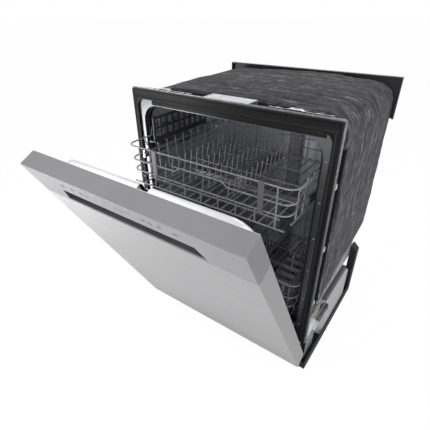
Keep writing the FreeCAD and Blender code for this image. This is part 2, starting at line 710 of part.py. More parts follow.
def front_flange():
    outer = (FLANGE_HALF, FLANGE_TOP, TRIM_FOOT, FLANGE_CORNER_RADIUS)
    inner = (MOUTH_HALF, MOUTH_TOP, TRIM_FOOT, TUB_CORNER_RADIUS)
    plate = arch_band(outer, inner, FLANGE_FRONT_Y, FLANGE_BACK_Y)
    x = MOUTH_HALF + FLANGE_RING / 2
    holes = []
    for z in spaced(TRIM_FOOT + RING_HOLE_START, MOUTH_TOP - TUB_CORNER_RADIUS, RING_HOLES_PER_SIDE):
        for side in (-1, 1):
            holes.append(rod((side * x, FLANGE_FRONT_Y - 1, z), (side * x, FLANGE_BACK_Y + 1, z),
                             RING_HOLE_RADIUS))
    return plate.cut(Part.makeCompound(holes))


def front_trim():
    outer = (TRIM_HALF, TRIM_TOP, TRIM_FOOT, TRIM_CORNER_RADIUS)
    inner = (TRIM_INNER_HALF, TRIM_INNER_TOP, TRIM_FOOT, TUB_CORNER_RADIUS / 2)
    return arch_band(outer, inner, FRONT_Y, FLANGE_FRONT_Y)


def door_gasket():
    """Bulb round the tub's mouth, jointed where its corners begin, and the seal in front of the tub's floor."""
    outer = (TUB_HALF, TUB_TOP, LEDGE_TOP, TUB_CORNER_RADIUS)
    inner = (GASKET_INNER_HALF, GASKET_INNER_TOP, LEDGE_TOP, LINER_CORNER_RADIUS + GASKET_GAP)
    back_y = GASKET_Y + GASKET_DEPTH
    bulb = arch_band(outer, inner, GASKET_Y, back_y)
    joint_x = TUB_HALF - TUB_CORNER_RADIUS
    joint_z = TUB_TOP - TUB_CORNER_RADIUS
    leg = bulb.common(block(joint_x, TUB_HALF, GASKET_Y, back_y, LEDGE_TOP, joint_z))
    corner = bulb.common(block(joint_x, TUB_HALF, GASKET_Y, back_y, joint_z, TUB_TOP))
    top = bulb.common(block(-joint_x, joint_x, GASKET_Y, back_y, joint_z, TUB_TOP))
    ledge_inner = TUB_HALF - TUB_LEDGE_WIDTH
    seal = block(-ledge_inner, ledge_inner, TUB_FLOOR_FRONT_Y - SEAL_DEPTH, TUB_FLOOR_FRONT_Y,
                 TUB_FLOOR_TOP - SEAL_TUCK, LEDGE_TOP - TUB_LEDGE_RISE / 2)
    return Part.makeCompound([leg, mirrored(leg), corner, mirrored(corner), top, seal])


def strike_bracket():
    base_z = TUB_TOP + TUB_WALL
    top_z = base_z + STRIKE_PLATE_RISE
    y0 = FLANGE_BACK_Y
    plate = block(STRIKE_PLATE_LEFT, STRIKE_PLATE_RIGHT, y0, y0 + STRIKE_PLATE_DEPTH, top_z,
                  top_z + STRIKE_THICKNESS)
    leg = block(STRIKE_PLATE_LEFT, STRIKE_PLATE_RIGHT, y0 + STRIKE_PLATE_DEPTH - STRIKE_THICKNESS,
                y0 + STRIKE_PLATE_DEPTH, base_z, top_z)
    y_tab = FRONT_Y + STRIKE_SETBACK
    tab = block(LATCH_CENTRE - STRIKE_WIDTH / 2, LATCH_CENTRE + STRIKE_WIDTH / 2, y_tab, y_tab + STRIKE_THICKNESS,
                LINER_TOP - STRIKE_REACH, top_z)
    hole_z = LINER_TOP - STRIKE_REACH + 2 * STRIKE_HOLE_RADIUS
    hole = rod((LATCH_CENTRE, y_tab - 1, hole_z), (LATCH_CENTRE, y_tab + STRIKE_THICKNESS + 1, hole_z),
               STRIKE_HOLE_RADIUS)
    return fused([plate, leg, tab]).cut(hole)


def rear_bracket():
    half = REAR_BRACKET_WIDTH / 2
    bottom = REAR_BRACKET_TOP - REAR_BRACKET_HEIGHT
    outside = block(-half, half, REAR_Y - REAR_BRACKET_FLANGE, REAR_Y, bottom, REAR_BRACKET_TOP)
    inside = block(-half + REAR_BRACKET_PLATE, half - REAR_BRACKET_PLATE, REAR_Y - REAR_BRACKET_FLANGE,
                   REAR_Y - REAR_BRACKET_PLATE, bottom, REAR_BRACKET_TOP - REAR_BRACKET_PLATE)
    pads = [block(side * REAR_PAD_X - REAR_PAD_WIDTH / 2, side * REAR_PAD_X + REAR_PAD_WIDTH / 2,
                  TUB_BACK_Y + TUB_WALL, REAR_Y - REAR_BRACKET_PLATE, bottom + REAR_PAD_RISE,
                  bottom + REAR_PAD_RISE + REAR_PAD_HEIGHT) for side in (-1, 1)]
    return fused([outside.cut(inside)] + pads)


def flange_clips():
    clips = []
    for z in CLIP_HEIGHTS:
        clips.append(block(FLANGE_HALF - CLIP_SIZE, FLANGE_HALF, FLANGE_BACK_Y, FLANGE_BACK_Y + CLIP_SIZE,
                           z - CLIP_SIZE / 2, z + CLIP_SIZE / 2))
    return Part.makeCompound([c for clip in clips for c in (clip, mirrored(clip))])


def worktop_brackets():
    x = WORKTOP_TAB_SPACING / 2
    half = WORKTOP_TAB_WIDTH / 2
    top = FLANGE_TOP + WORKTOP_TAB_THICKNESS
    foot = block(x - half, x + half, FLANGE_BACK_Y, FLANGE_BACK_Y + WORKTOP_TAB_THICKNESS, TRIM_INNER_TOP, top)
    shelf = block(x - half, x + half, FLANGE_BACK_Y, FLANGE_BACK_Y + WORKTOP_TAB_LENGTH, FLANGE_TOP, top)
    y_hole = FLANGE_BACK_Y + WORKTOP_TAB_LENGTH / 2
    hole = rod((x, y_hole, FLANGE_TOP - 1), (x, y_hole, top + 1), WORKTOP_HOLE_RADIUS)
    return pair(fused([foot, shelf]).cut(hole))


def blanket_profile(y, grow, crown):
    """Closed arch-shaped section of the blanket, its top bowed upwards."""
    half = TUB_HALF + TUB_WALL + BLANKET_GAP
    top = TUB_TOP + TUB_WALL + BLANKET_GAP
    inner_radius = TUB_CORNER_RADIUS + TUB_WALL + BLANKET_GAP
    low = BLANKET_LOW_FRONT
    outer_half = half + BLANKET_SIDE_THICKNESS + grow
    outer_top = top + BLANKET_TOP_THICKNESS + grow
    radius = BLANKET_CORNER_RADIUS
    outer_corner = radius * (1 - math.sqrt(0.5))
    inner_corner = inner_radius * (1 - math.sqrt(0.5))

    def line(a, b):
        return Part.LineSegment(Vector(a[0], y, a[1]), Vector(b[0], y, b[1])).toShape()

    def arc(a, b, c):
        return Part.Arc(Vector(a[0], y, a[1]), Vector(b[0], y, b[1]), Vector(c[0], y, c[1])).toShape()

    edges = [
        line((-outer_half, low), (-outer_half, outer_top - radius)),
        arc((-outer_half, outer_top - radius), (-outer_half + outer_corner, outer_top - outer_corner),
            (-outer_half + radius, outer_top)),
        arc((-outer_half + radius, outer_top), (0, outer_top + crown), (outer_half - radius, outer_top)),
        arc((outer_half - radius, outer_top), (outer_half - outer_corner, outer_top - outer_corner),
            (outer_half, outer_top - radius)),
        line((outer_half, outer_top - radius), (outer_half, low)),
        line((outer_half, low), (half, low)),
        line((half, low), (half, top - inner_radius)),
        arc((half, top - inner_radius), (half - inner_corner, top - inner_corner), (half - inner_radius, top)),
        line((half - inner_radius, top), (-half + inner_radius, top)),
        arc((-half + inner_radius, top), (-half + inner_corner, top - inner_corner), (-half, top - inner_radius)),
        line((-half, top - inner_radius), (-half, low)),
        line((-half, low), (-outer_half, low)),
    ]
    return Part.Wire(edges)


def blanket_cutters():
    """Space under the blanket's slanting hem, and round the strike plate."""
    back_y = REAR_Y - REAR_BRACKET_PLATE
    half = FLANGE_HALF + BEYOND
    low = BLANKET_LOW_FRONT - BEYOND
    hem = side_plate([(FRONT_Y, low), (back_y, low), (back_y, BLANKET_LOW_REAR),
                      (FRONT_Y + BLANKET_SIDE_SETBACK, BLANKET_LOW_FRONT)], -half, half)
    notch = block(STRIKE_PLATE_LEFT - BLANKET_NOTCH_GAP, STRIKE_PLATE_RIGHT + BLANKET_NOTCH_GAP, FRONT_Y,
                  FLANGE_BACK_Y + STRIKE_PLATE_DEPTH + BLANKET_NOTCH_GAP, TUB_TOP, REAR_BRACKET_TOP + BEYOND)
    side_front = block(TUB_HALF - TUB_CORNER_RADIUS, half, FRONT_Y, FRONT_Y + BLANKET_SIDE_SETBACK,
                       low, TUB_TOP - TUB_CORNER_RADIUS)
    return Part.makeCompound([hem, notch]), pair(side_front)


def insulation_blanket():
    front_y = FRONT_Y + BLANKET_FRONT_SETBACK + BLANKET_BINDING_DEPTH
    back_y = REAR_Y - REAR_BRACKET_PLATE - BLANKET_REAR_GAP
    sections = [(front_y, 0.0, BLANKET_FRONT_CROWN), ((front_y + back_y) / 2, BLANKET_SWELL, BLANKET_CROWN),
                (back_y - REAR_BRACKET_FLANGE, BLANKET_REAR_SWELL, BLANKET_CROWN),
                (back_y, -BLANKET_REAR_TUCK, BLANKET_CROWN)]
    body = Part.makeLoft([blanket_profile(*section) for section in sections], True, True)
    hem_and_notch, side_front = blanket_cutters()
    side_front.translate(Vector(0, BLANKET_BINDING_DEPTH, 0))
    pad_half = REAR_PAD_WIDTH / 2 + BLANKET_PAD_GAP
    pads = Part.makeCompound([block(side * REAR_PAD_X - pad_half, side * REAR_PAD_X + pad_half, TUB_BACK_Y, REAR_Y,
                                    0, REAR_BRACKET_TOP) for side in (-1, 1)])
    return body.cut(hem_and_notch).cut(side_front).cut(pads)


def blanket_binding():
    front_y = FRONT_Y + BLANKET_FRONT_SETBACK
    back_y = front_y + BLANKET_BINDING_DEPTH
    shell = Part.makeLoft([blanket_profile(front_y, -BLANKET_BINDING_STEP, BINDING_FRONT_CROWN),
                           blanket_profile(back_y, -BLANKET_BINDING_STEP, BINDING_CROWN)], True, True)
    hem_and_notch, side_front = blanket_cutters()
    half = TUB_HALF + TUB_WALL + BLANKET_GAP
    side_y = FRONT_Y + BLANKET_SIDE_SETBACK
    strip_top = TUB_TOP - TUB_CORNER_RADIUS
    strip = block(half, half + BLANKET_SIDE_THICKNESS - BLANKET_BINDING_STEP, side_y,
                  side_y + BLANKET_BINDING_DEPTH, BLANKET_LOW_FRONT - BEYOND, strip_top)
    return fused([shell.cut(side_front), strip, mirrored(strip)]).cut(hem_and_notch)


# ---------------------------------------------------------------- hinges
def spring_hook_y():
    """Front face of the tab that holds the spring's rear end."""
    return BRACKET_Y + SLIDER_FRONT_ROOM + SLIDER_LENGTH + SPRING_LENGTH


def hinge_brackets():
    eye = rod((BRACKET_INNER_X, HINGE_Y, HINGE_HEIGHT), (BRACKET_OUTER_X, HINGE_Y, HINGE_HEIGHT), HINGE_EYE_RADIUS)
    back = BRACKET_Y + BRACKET_FOOT_LENGTH
    arm_top = SPRING_HEIGHT + BRACKET_ARM_WIDTH / 2
    arm_low = SPRING_HEIGHT - BRACKET_ARM_WIDTH / 2
    hook_back = spring_hook_y() + SPRING_HOOK_PLATE
    neck_y = HINGE_Y + BRACKET_NECK_GAP
    neck_low = HINGE_HEIGHT + BRACKET_NECK_GAP
    neck_top = TRIM_FOOT - BRACKET_NECK_GAP
    plate = side_plate([
        (neck_y, neck_low), (BRACKET_Y, neck_low), (BRACKET_Y, BASE_FLOOR),
        (back, BASE_FLOOR), (back, arm_low), (hook_back, arm_low), (hook_back, arm_top), (back, arm_top),
        (back, HINGE_HEIGHT + BRACKET_TOP_RISE), (FLANGE_BACK_Y, HINGE_HEIGHT + BRACKET_TOP_RISE),
        (FLANGE_BACK_Y, neck_top), (neck_y, neck_top)], BRACKET_INNER_X, BRACKET_OUTER_X)
    hook = block(BRACKET_INNER_X, BRACKET_OUTER_X + SLIDER_GAP + SLIDER_WIDTH, spring_hook_y(), hook_back,
                 arm_low, arm_top)
    bore = rod((BRACKET_INNER_X - 1, HINGE_Y, HINGE_HEIGHT), (BRACKET_OUTER_X + 1, HINGE_Y, HINGE_HEIGHT),
               HINGE_PIN_RADIUS)
    pin = rod((BRACKET_INNER_X, HINGE_Y, HINGE_HEIGHT), (ARM_OUTER_X + PIN_HEAD, HINGE_Y, HINGE_HEIGHT),
              HINGE_PIN_RADIUS)
    return pair(Part.makeCompound([fused([eye, plate, hook]).cut(bore), pin]))


def hinge_arms():
    eye = rod((ARM_INNER_X, HINGE_Y, HINGE_HEIGHT), (ARM_OUTER_X, HINGE_Y, HINGE_HEIGHT), HINGE_EYE_RADIUS)
    front = SHELL_BACK_Y - HINGE_ARM_WIDTH
    blade = block(ARM_INNER_X, ARM_OUTER_X, front, SHELL_BACK_Y, HINGE_HEIGHT, HINGE_HEIGHT + HINGE_ARM_LENGTH)
    foot = block(ARM_INNER_X, DOOR_HALF - PANEL_WALL, front, front + HINGE_PLATE,
                 HINGE_HEIGHT + HINGE_ARM_FOOT_RISE, HINGE_HEIGHT + HINGE_ARM_LENGTH)
    bore = rod((ARM_INNER_X - 1, HINGE_Y, HINGE_HEIGHT), (ARM_OUTER_X + 1, HINGE_Y, HINGE_HEIGHT),
               HINGE_PIN_RADIUS + HINGE_PIN_CLEARANCE)
    return opened(pair(fused([eye, blade, foot]).cut(bore)))


def hinge_notch():
    """Room in the door's back for the hinge eyes."""
    radius = HINGE_EYE_RADIUS + HINGE_NOTCH_GAP
    return pair(rod((BRACKET_INNER_X - HINGE_NOTCH_GAP, HINGE_Y, HINGE_HEIGHT),
                    (ARM_OUTER_X + HINGE_NOTCH_GAP, HINGE_Y, HINGE_HEIGHT), radius))


def spring_sliders():
    x = BRACKET_OUTER_X + SLIDER_GAP
    y = BRACKET_Y + SLIDER_FRONT_ROOM
    body = block(x, x + SLIDER_WIDTH, y, y + SLIDER_LENGTH, SPRING_HEIGHT - SLIDER_HEIGHT / 2,
                 SPRING_HEIGHT + SLIDER_HEIGHT / 2)
    eye = rod((x, y + SLIDER_HEIGHT / 2, SPRING_HEIGHT), (x + SLIDER_WIDTH, y + SLIDER_HEIGHT / 2, SPRING_HEIGHT),
              SLIDER_HEIGHT / 5)
    return pair(body.cut(eye))


def biarc(start, start_heading, end, end_heading):
    """Two arcs that meet tangentially and leave and arrive along the given headings."""
    span = end - start
    headings = start_heading + end_heading
    a = headings.dot(headings) - 4
    b = span.dot(headings)
    reach = (b - math.sqrt(b * b - a * span.dot(span))) / a
    leaving = start + start_heading * reach
    arriving = end - end_heading * reach
    joint = (leaving + arriving) * 0.5
    return [corner_arc(start, leaving, joint), corner_arc(joint, arriving, end)]


def spring_point(turn):
    """Point on the right-hand spring's centre line after a number of turns, and the heading there."""
    angle = 2 * math.pi * turn
    pitch = (SPRING_LENGTH - 2 * SPRING_WIRE_RADIUS) / SPRING_TURNS
    point = Vector(BRACKET_OUTER_X + SLIDER_GAP + SLIDER_WIDTH / 2 + SPRING_RADIUS * math.cos(angle),
                   BRACKET_Y + SLIDER_FRONT_ROOM + SLIDER_LENGTH + SPRING_WIRE_RADIUS + pitch * turn,
                   SPRING_HEIGHT + SPRING_RADIUS * math.sin(angle))
    heading = Vector(-SPRING_RADIUS * math.sin(angle), pitch / (2 * math.pi), SPRING_RADIUS * math.cos(angle))
    return point, heading.normalize()


def door_springs():
    """Extension springs between the sliders and the brackets' hooks, on biarcs of half a turn."""
    stations = [spring_point(i / 2) for i in range(2 * SPRING_TURNS + 1)]
    edges = [arc for first, last in zip(stations, stations[1:]) for arc in biarc(*first, *last)]
    path = Part.Wire(edges)
    profile = Part.Wire(Part.makeCircle(SPRING_WIRE_RADIUS, *stations[0]))
    points = [spring_point(i / 12)[0] for i in range(12 * SPRING_TURNS + 1)]
    gap = min((points[j] - points[i]).Length for i in range(len(points)) for j in range(i + 6, len(points)))
    print(f"spring least gap to itself {gap - 2 * SPRING_WIRE_RADIUS:.2f} mm, over {SPRING_LEAST_GAP} asked")
    return pair(path.makePipeShell([profile], True, False))


# ---------------------------------------------------------------- door pieces
def outer_panel():
    top = DOOR_TOP - CONSOLE_HEIGHT - CONSOLE_SEAM
    outside = block(-DOOR_HALF, DOOR_HALF, DOOR_FRONT_Y, SHELL_BACK_Y, DOOR_BOTTOM, top)
    inside = block(-DOOR_HALF + PANEL_WALL, DOOR_HALF - PANEL_WALL, DOOR_FRONT_Y + PANEL_WALL, SHELL_BACK_Y,
                   DOOR_BOTTOM + PANEL_WALL, top)
    skin = outside.cut(inside)
    edges = [e for e in skin.Edges if abs(e.CenterOfMass.y - DOOR_FRONT_Y) < 1e-6
             and abs(abs(e.CenterOfMass.x) - DOOR_HALF) < 1e-6]
    return opened(skin.makeFillet(PANEL_EDGE_RADIUS, edges))


def pocket_mouth(y0, y1, inset):
    """Slant-ended outline of the handle pocket, drawn out along Y."""
    z1 = DOOR_TOP - POCKET_MOUTH_TOP + inset
    z0 = DOOR_TOP - POCKET_MOUTH_BOTTOM - inset
    return front_plate([(-POCKET_HALF_BOTTOM - inset, z0), (POCKET_HALF_BOTTOM + inset, z0),
                        (POCKET_HALF_TOP + inset, z1), (-POCKET_HALF_TOP - inset, z1)], y0, y1)


def console():
    bottom = DOOR_TOP - CONSOLE_HEIGHT
    outside = block(-DOOR_HALF, DOOR_HALF, DOOR_FRONT_Y, SHELL_BACK_Y, bottom, DOOR_TOP)
    edges = [e for e in outside.Edges if abs(e.CenterOfMass.y - DOOR_FRONT_Y) < 1e-6
             and e.CenterOfMass.z > bottom + 1]
    outside = outside.makeFillet(CONSOLE_EDGE_RADIUS, edges)
    inside = block(-DOOR_HALF + CONSOLE_WALL, DOOR_HALF - CONSOLE_WALL, DOOR_FRONT_Y + CONSOLE_WALL, SHELL_BACK_Y,
                   bottom, DOOR_TOP - CONSOLE_WALL)
    mouth = pocket_mouth(DOOR_FRONT_Y - 1, DOOR_FRONT_Y + CONSOLE_WALL + 1, 0.0)
    window = block(DISPLAY_CENTRE - DISPLAY_WIDTH / 2, DISPLAY_CENTRE + DISPLAY_WIDTH / 2, DOOR_FRONT_Y - 1,
                   DOOR_FRONT_Y + CONSOLE_WALL, DOOR_TOP - KEY_DROP - DISPLAY_HEIGHT / 2,
                   DOOR_TOP - KEY_DROP + DISPLAY_HEIGHT / 2)
    return opened(outside.cut(inside).cut(mouth).cut(window))


def handle_pocket():
    front = DOOR_FRONT_Y + CONSOLE_WALL
    z0 = DOOR_TOP - POCKET_MOUTH_BOTTOM
    z1 = DOOR_TOP - POCKET_MOUTH_TOP + POCKET_UNDERCUT
    half = POCKET_HALF_BOTTOM
    outside = block(-half - POCKET_WALL, half + POCKET_WALL, front, front + POCKET_DEPTH,
                    z0 - POCKET_WALL, z1 + POCKET_WALL)
    inside = block(-half, half, front, front + POCKET_DEPTH - POCKET_WALL, z0, z1)
    edge = [e for e in inside.Edges if abs(e.CenterOfMass.y - front - POCKET_DEPTH + POCKET_WALL) < 1e-6
            and abs(e.CenterOfMass.x) < 1]
    return opened(outside.cut(inside.makeFillet(POCKET_DEPTH / 3, edge)))


def display_and_keys():
    z = DOOR_TOP - KEY_DROP
    window = block(DISPLAY_CENTRE - DISPLAY_WIDTH / 2, DISPLAY_CENTRE + DISPLAY_WIDTH / 2, DOOR_FRONT_Y,
                   DOOR_FRONT_Y + CONSOLE_WALL, z - DISPLAY_HEIGHT / 2, z + DISPLAY_HEIGHT / 2)
    keys = [block(x - KEY_WIDTH / 2, x + KEY_WIDTH / 2, DOOR_FRONT_Y - KEY_RISE, DOOR_FRONT_Y,
                  z - KEY_HEIGHT / 2, z + KEY_HEIGHT / 2) for x in KEY_PLACES]
    return opened(Part.makeCompound([window] + keys))


def liner_bulge(inset):
    """The part of the inner liner that enters the tub, shrunk by an inset on every side."""
    body = arch(LINER_HALF_WIDTH - inset, LINER_TOP - inset, LINER_BOTTOM + inset, LINER_CORNER_RADIUS - inset,
                HINGE_Y - LINER_WALL - 1, LINER_FACE_Y - inset)
    face_y = LINER_FACE_Y - inset
    edges = [e for e in body.Edges
             if abs(e.BoundBox.YMin - face_y) < 1e-6 and abs(e.BoundBox.YMax - face_y) < 1e-6]
    return body.makeFillet(LINER_EDGE_RADIUS - inset, edges)


def dispenser_box():
    """Outline of the dispenser's housing, set into the liner."""
    z = HINGE_HEIGHT + DISPENSER_CENTRE_UP
    half = DISPENSER_WIDTH / 2
    return block(DISPENSER_CENTRE_X - half, DISPENSER_CENTRE_X + half, LINER_FACE_Y - DISPENSER_DEPTH,
                 LINER_FACE_Y + DISPENSER_PROUD, z - DISPENSER_HEIGHT / 2, z + DISPENSER_HEIGHT / 2)


def latch_box():
    """Space of the latch housing: a notch in the liner's top edge, open upwards and backwards."""
    half = LATCH_WIDTH / 2 + LATCH_WALL
    return block(LATCH_CENTRE - half, LATCH_CENTRE + half, HINGE_Y + LATCH_FRONT_SKIN - LATCH_WALL,
                 LINER_FACE_Y + 1, LINER_TOP - LATCH_HEIGHT - LATCH_WALL, LINER_TOP + 1)


def inner_liner():
    half = DOOR_HALF - LINER_FLANGE_MARGIN
    flange = block(-half, half, SHELL_BACK_Y, HINGE_Y, DOOR_BOTTOM + LINER_FLANGE_MARGIN,
                   DOOR_TOP - LINER_FLANGE_MARGIN)
    outer = fused([flange, liner_bulge(0).common(
        block(-half, half, SHELL_BACK_Y, LINER_FACE_Y + 1, DOOR_BOTTOM, DOOR_TOP))])
    return opened(outer.cut(liner_bulge(LINER_WALL)).cut(hinge_notch()).cut(dispenser_box()).cut(latch_box()))


def latch_housing():
    half = LATCH_WIDTH / 2
    y0 = HINGE_Y + LATCH_FRONT_SKIN
    z0 = LINER_TOP - LATCH_HEIGHT
    outside = block(LATCH_CENTRE - half - LATCH_WALL, LATCH_CENTRE + half + LATCH_WALL, y0 - LATCH_WALL,
                    LINER_FACE_Y - LINER_EDGE_RADIUS, z0 - LATCH_WALL, LINER_TOP)
    inside = block(LATCH_CENTRE - half, LATCH_CENTRE + half, y0, LINER_FACE_Y, z0, LINER_TOP + 1)
    pin_y, pin_z = claw_axis()
    pin = rod((LATCH_CENTRE - half - 1, pin_y, pin_z), (LATCH_CENTRE + half + 1, pin_y, pin_z), CLAW_PIN_RADIUS)
    return opened(fused([outside.cut(inside), pin]))


def claw_axis():
    """Place of the claw's pin, door shut: Y and Z."""
    return HINGE_Y + LATCH_FRONT_SKIN + CLAW_SETBACK, LINER_TOP - LATCH_HEIGHT + CLAW_PIN_RISE


def latch_claw():
    y, z = claw_axis()
    x0 = LATCH_CENTRE - LATCH_WIDTH / 2 + CLAW_SIDE_GAP
    x1 = LATCH_CENTRE + LATCH_WIDTH / 2 - CLAW_SIDE_GAP
    low = z - CLAW_PIN_RADIUS
    eye = rod((x0, y, z), (x1, y, z), CLAW_EYE_RADIUS)
    nose = block(x0, x1, y - CLAW_REACH, y, low, low + CLAW_THICKNESS)
    tip = block(x0, x1, y - CLAW_REACH, y - CLAW_REACH + CLAW_TIP, low, z + CLAW_TIP_RISE)
    bore = rod((x0 - 1, y, z), (x1 + 1, y, z), CLAW_PIN_RADIUS + SPINDLE_CLEARANCE)
    return opened(fused([eye, nose, tip]).cut(bore))


def dispenser_body():
    z = HINGE_HEIGHT + DISPENSER_CENTRE_UP
    face = LINER_FACE_Y + DISPENSER_PROUD
    body = dispenser_box()
    cup_x = DISPENSER_CENTRE_X + LID_CENTRE_X
    cup = block(cup_x - LID_WIDTH / 2 + CUP_WALL, cup_x + LID_WIDTH / 2 - CUP_WALL, face - CUP_DEPTH, face + 1,
                z + DISPENSER_HEIGHT / 2 - CUP_WALL - LID_HEIGHT, z + DISPENSER_HEIGHT / 2 - 2 * CUP_WALL)
    track = block(cup_x - LID_WIDTH / 2 - DISPENSER_GAP, cup_x + LID_WIDTH / 2 + DISPENSER_GAP,
                  face - LID_THICKNESS - DISPENSER_GAP, face + 1, z - DISPENSER_HEIGHT / 2 + CUP_WALL / 2,
                  z + DISPENSER_HEIGHT / 2 - CUP_WALL / 2)
    cap_x = DISPENSER_CENTRE_X + RINSE_CAP_CENTRE_X
    seat = rod((cap_x, face - RINSE_CAP_THICKNESS - DISPENSER_GAP, z), (cap_x, face + 1, z),
               RINSE_CAP_RADIUS + DISPENSER_GAP)
    well = rod((cap_x, face - RINSE_CAP_THICKNESS - RINSE_STEM_LENGTH - RINSE_WELL_ROOM, z), (cap_x, face, z),
               RINSE_STEM_RADIUS + SPINDLE_CLEARANCE)
    return opened(body.cut(cup).cut(track).cut(seat).cut(well))


def dispenser_lid():
    z = HINGE_HEIGHT + DISPENSER_CENTRE_UP
    face = LINER_FACE_Y + DISPENSER_PROUD
    x = DISPENSER_CENTRE_X + LID_CENTRE_X
    top = z + DISPENSER_HEIGHT / 2 - CUP_WALL / 2 - DISPENSER_GAP
    plate = block(x - LID_WIDTH / 2, x + LID_WIDTH / 2, face - LID_THICKNESS, face, top - LID_HEIGHT, top)
    grip_low = top - LID_HEIGHT + LID_GRIP_MARGIN
    grip = block(x - LID_GRIP_WIDTH / 2, x + LID_GRIP_WIDTH / 2, face, face + LID_GRIP_RISE,
                 grip_low, grip_low + LID_GRIP_HEIGHT)
    return opened(fused([plate, grip]))


def rinse_aid_cap():
    z = HINGE_HEIGHT + DISPENSER_CENTRE_UP
    face = LINER_FACE_Y + DISPENSER_PROUD
    x = DISPENSER_CENTRE_X + RINSE_CAP_CENTRE_X
    cap = rod((x, face - RINSE_CAP_THICKNESS, z), (x, face, z), RINSE_CAP_RADIUS)
    stem = rod((x, face - RINSE_CAP_THICKNESS - RINSE_STEM_LENGTH, z), (x, face, z), RINSE_STEM_RADIUS)
    grip_half = RINSE_CAP_RADIUS - RINSE_GRIP_MARGIN
    grip = block(x - grip_half, x + grip_half, face, face + RINSE_GRIP_RISE,
                 z - RINSE_GRIP_WIDTH / 2, z + RINSE_GRIP_WIDTH / 2)
    return opened(fused([cap, stem, grip]))


# ---------------------------------------------------------------- rack walls and floors
def upright_places(foot_half):
    """X of the uprights in a rack's end wall."""
    return spaced(-foot_half + RACK_CORNER_RADIUS, foot_half - RACK_CORNER_RADIUS, UPRIGHTS)


def jogged_wire(half, y, z):
    """End wall's middle wire with its centre raised."""
    return bent_wire([(-half, y, z), (-JOG_HALF - JOG_RAMP, y, z), (-JOG_HALF, y, z + JOG_RISE),
                      (JOG_HALF, y, z + JOG_RISE), (JOG_HALF + JOG_RAMP, y, z), (half, y, z)],
                     WIRE_RADIUS, JOG_BEND)


def rack_end(y, top, floor, half_top, half_floor, drops, slope, facing, jog):
    """Front or back wall of a rack: a flat grille, and the bent wires round its corners.

    The grille has a rim, two middle wires, a foot wire and uprights. facing is -1 for a front wall
    and +1 for a back wall; slope is how far the foot stands back. jog raises the centre of the upper
    middle wire and keeps that part of the wall open: only the outer uprights reach the rim there.
    """
    inner = RACK_CORNER_RADIUS + RACK_CORNER_LEG
    grille = []
    corners = []

    def place(z):
        share = (top - z) / (top - floor)
        return half_top + (half_floor - half_top) * share, y - facing * slope * share

    for drop in (0.0,) + drops:
        z = top - drop
        half, wy = place(z)
        straight = half - RACK_CORNER_RADIUS
        if drop == drops[0] and jog:
            grille.append(jogged_wire(straight, wy, z))
        else:
            grille.append(rod((-straight, wy, z), (straight, wy, z), WIRE_RADIUS))
        back_y = y - facing * inner
        corners += [bent_wire([(side * straight, wy, z), (side * half, wy, z), (side * half, back_y, z)],
                              WIRE_RADIUS, RACK_CORNER_RADIUS) for side in (-1, 1)]
    foot_half, foot_y = place(floor)
    grille.append(rod((-foot_half, foot_y, floor), (foot_half, foot_y, floor), WIRE_RADIUS))
    overlap = WIRE_RADIUS * (2 - WIRE_BITE)
    uprights = upright_places(foot_half)
    for x in uprights:
        z = top - drops[1] if jog and uprights[0] < x < uprights[-1] else top
        head_y = place(z)[1] - facing * overlap
        grille.append(rod((x, head_y, z), (x, foot_y - facing * overlap, floor - WIRE_RADIUS / 2), WIRE_RADIUS))
    return Part.makeCompound([fused(grille)] + corners)


def rack_side(front_y, back_y, top, floor, half_top, half_floor, drops):
    """Right-hand wall of a rack, between the corner returns of its end walls."""
    inner = RACK_CORNER_RADIUS + RACK_CORNER_LEG
    y0 = front_y + inner
    y1 = back_y - inner
    parts = []

    def half_at(z):
        return half_top + (half_floor - half_top) * (top - z) / (top - floor)

    for drop in (0.0,) + drops + (top - floor,):
        z = top - drop
        parts.append(rod((half_at(z), y0, z), (half_at(z), y1, z), WIRE_RADIUS))
    inward = WIRE_RADIUS * (2 - WIRE_BITE)
    for y in spaced(y0 + RACK_SIDE_MARGIN, y1 - RACK_SIDE_MARGIN, UPRIGHTS):
        parts.append(rod((half_at(top) - inward, y, top), (half_at(floor) - inward, y, floor - WIRE_RADIUS / 2),
                         WIRE_RADIUS))
    return fused(parts)


def cross_level(floor):
    """Height of the floor's cross wires, welded on top of the long ones."""
    return floor + 2 * WIRE_RADIUS + WIRE_RADIUS * (2 - WIRE_BITE)


def rack_floor(front_y, back_y, floor, half):
    """Flat wire floor on the end walls' foot wires, its long wires between the uprights."""
    z = floor + 2 * WIRE_RADIUS
    uprights = upright_places(half)
    quarter = (uprights[1] - uprights[0]) / 4
    places = [x + share * quarter for x in uprights[:-1] for share in (1, 3)]
    parts = [rod((x, front_y, z), (x, back_y, z), WIRE_RADIUS) for x in places]
    cross_z = cross_level(floor)
    reach = places[-1] + RACK_FLOOR_OVERHANG
    parts += [rod((-reach, y, cross_z), (reach, y, cross_z), WIRE_RADIUS)
              for y in spaced(front_y + RACK_FLOOR_MARGIN, back_y - RACK_FLOOR_MARGIN, RACK_CROSS_WIRES)]
    return fused(parts)


def tine_row(x, y0, y1, z, height, lean):
    """Comb of tines on a carrier wire along Y."""
    parts = [rod((x, y0, z), (x, y1, z), TINE_RADIUS)]
    parts += [rod((x, y, z - TINE_RADIUS / 2), (x + lean, y, z + height), TINE_RADIUS)
              for y in spaced(y0 + TINE_END, y1 - TINE_END, TINES_PER_ROW)]
    return fused(parts)


def tine_level(floor):
    """Height of a comb's carrier wire, lying on the floor's cross wires."""
    return cross_level(floor) + WIRE_RADIUS + TINE_RADIUS


UPPER_DROPS = (UPPER_MIDDLE_DROP, UPPER_LOWER_DROP)
LOWER_DROPS = (LOWER_MIDDLE_DROP, LOWER_LOWER_DROP)


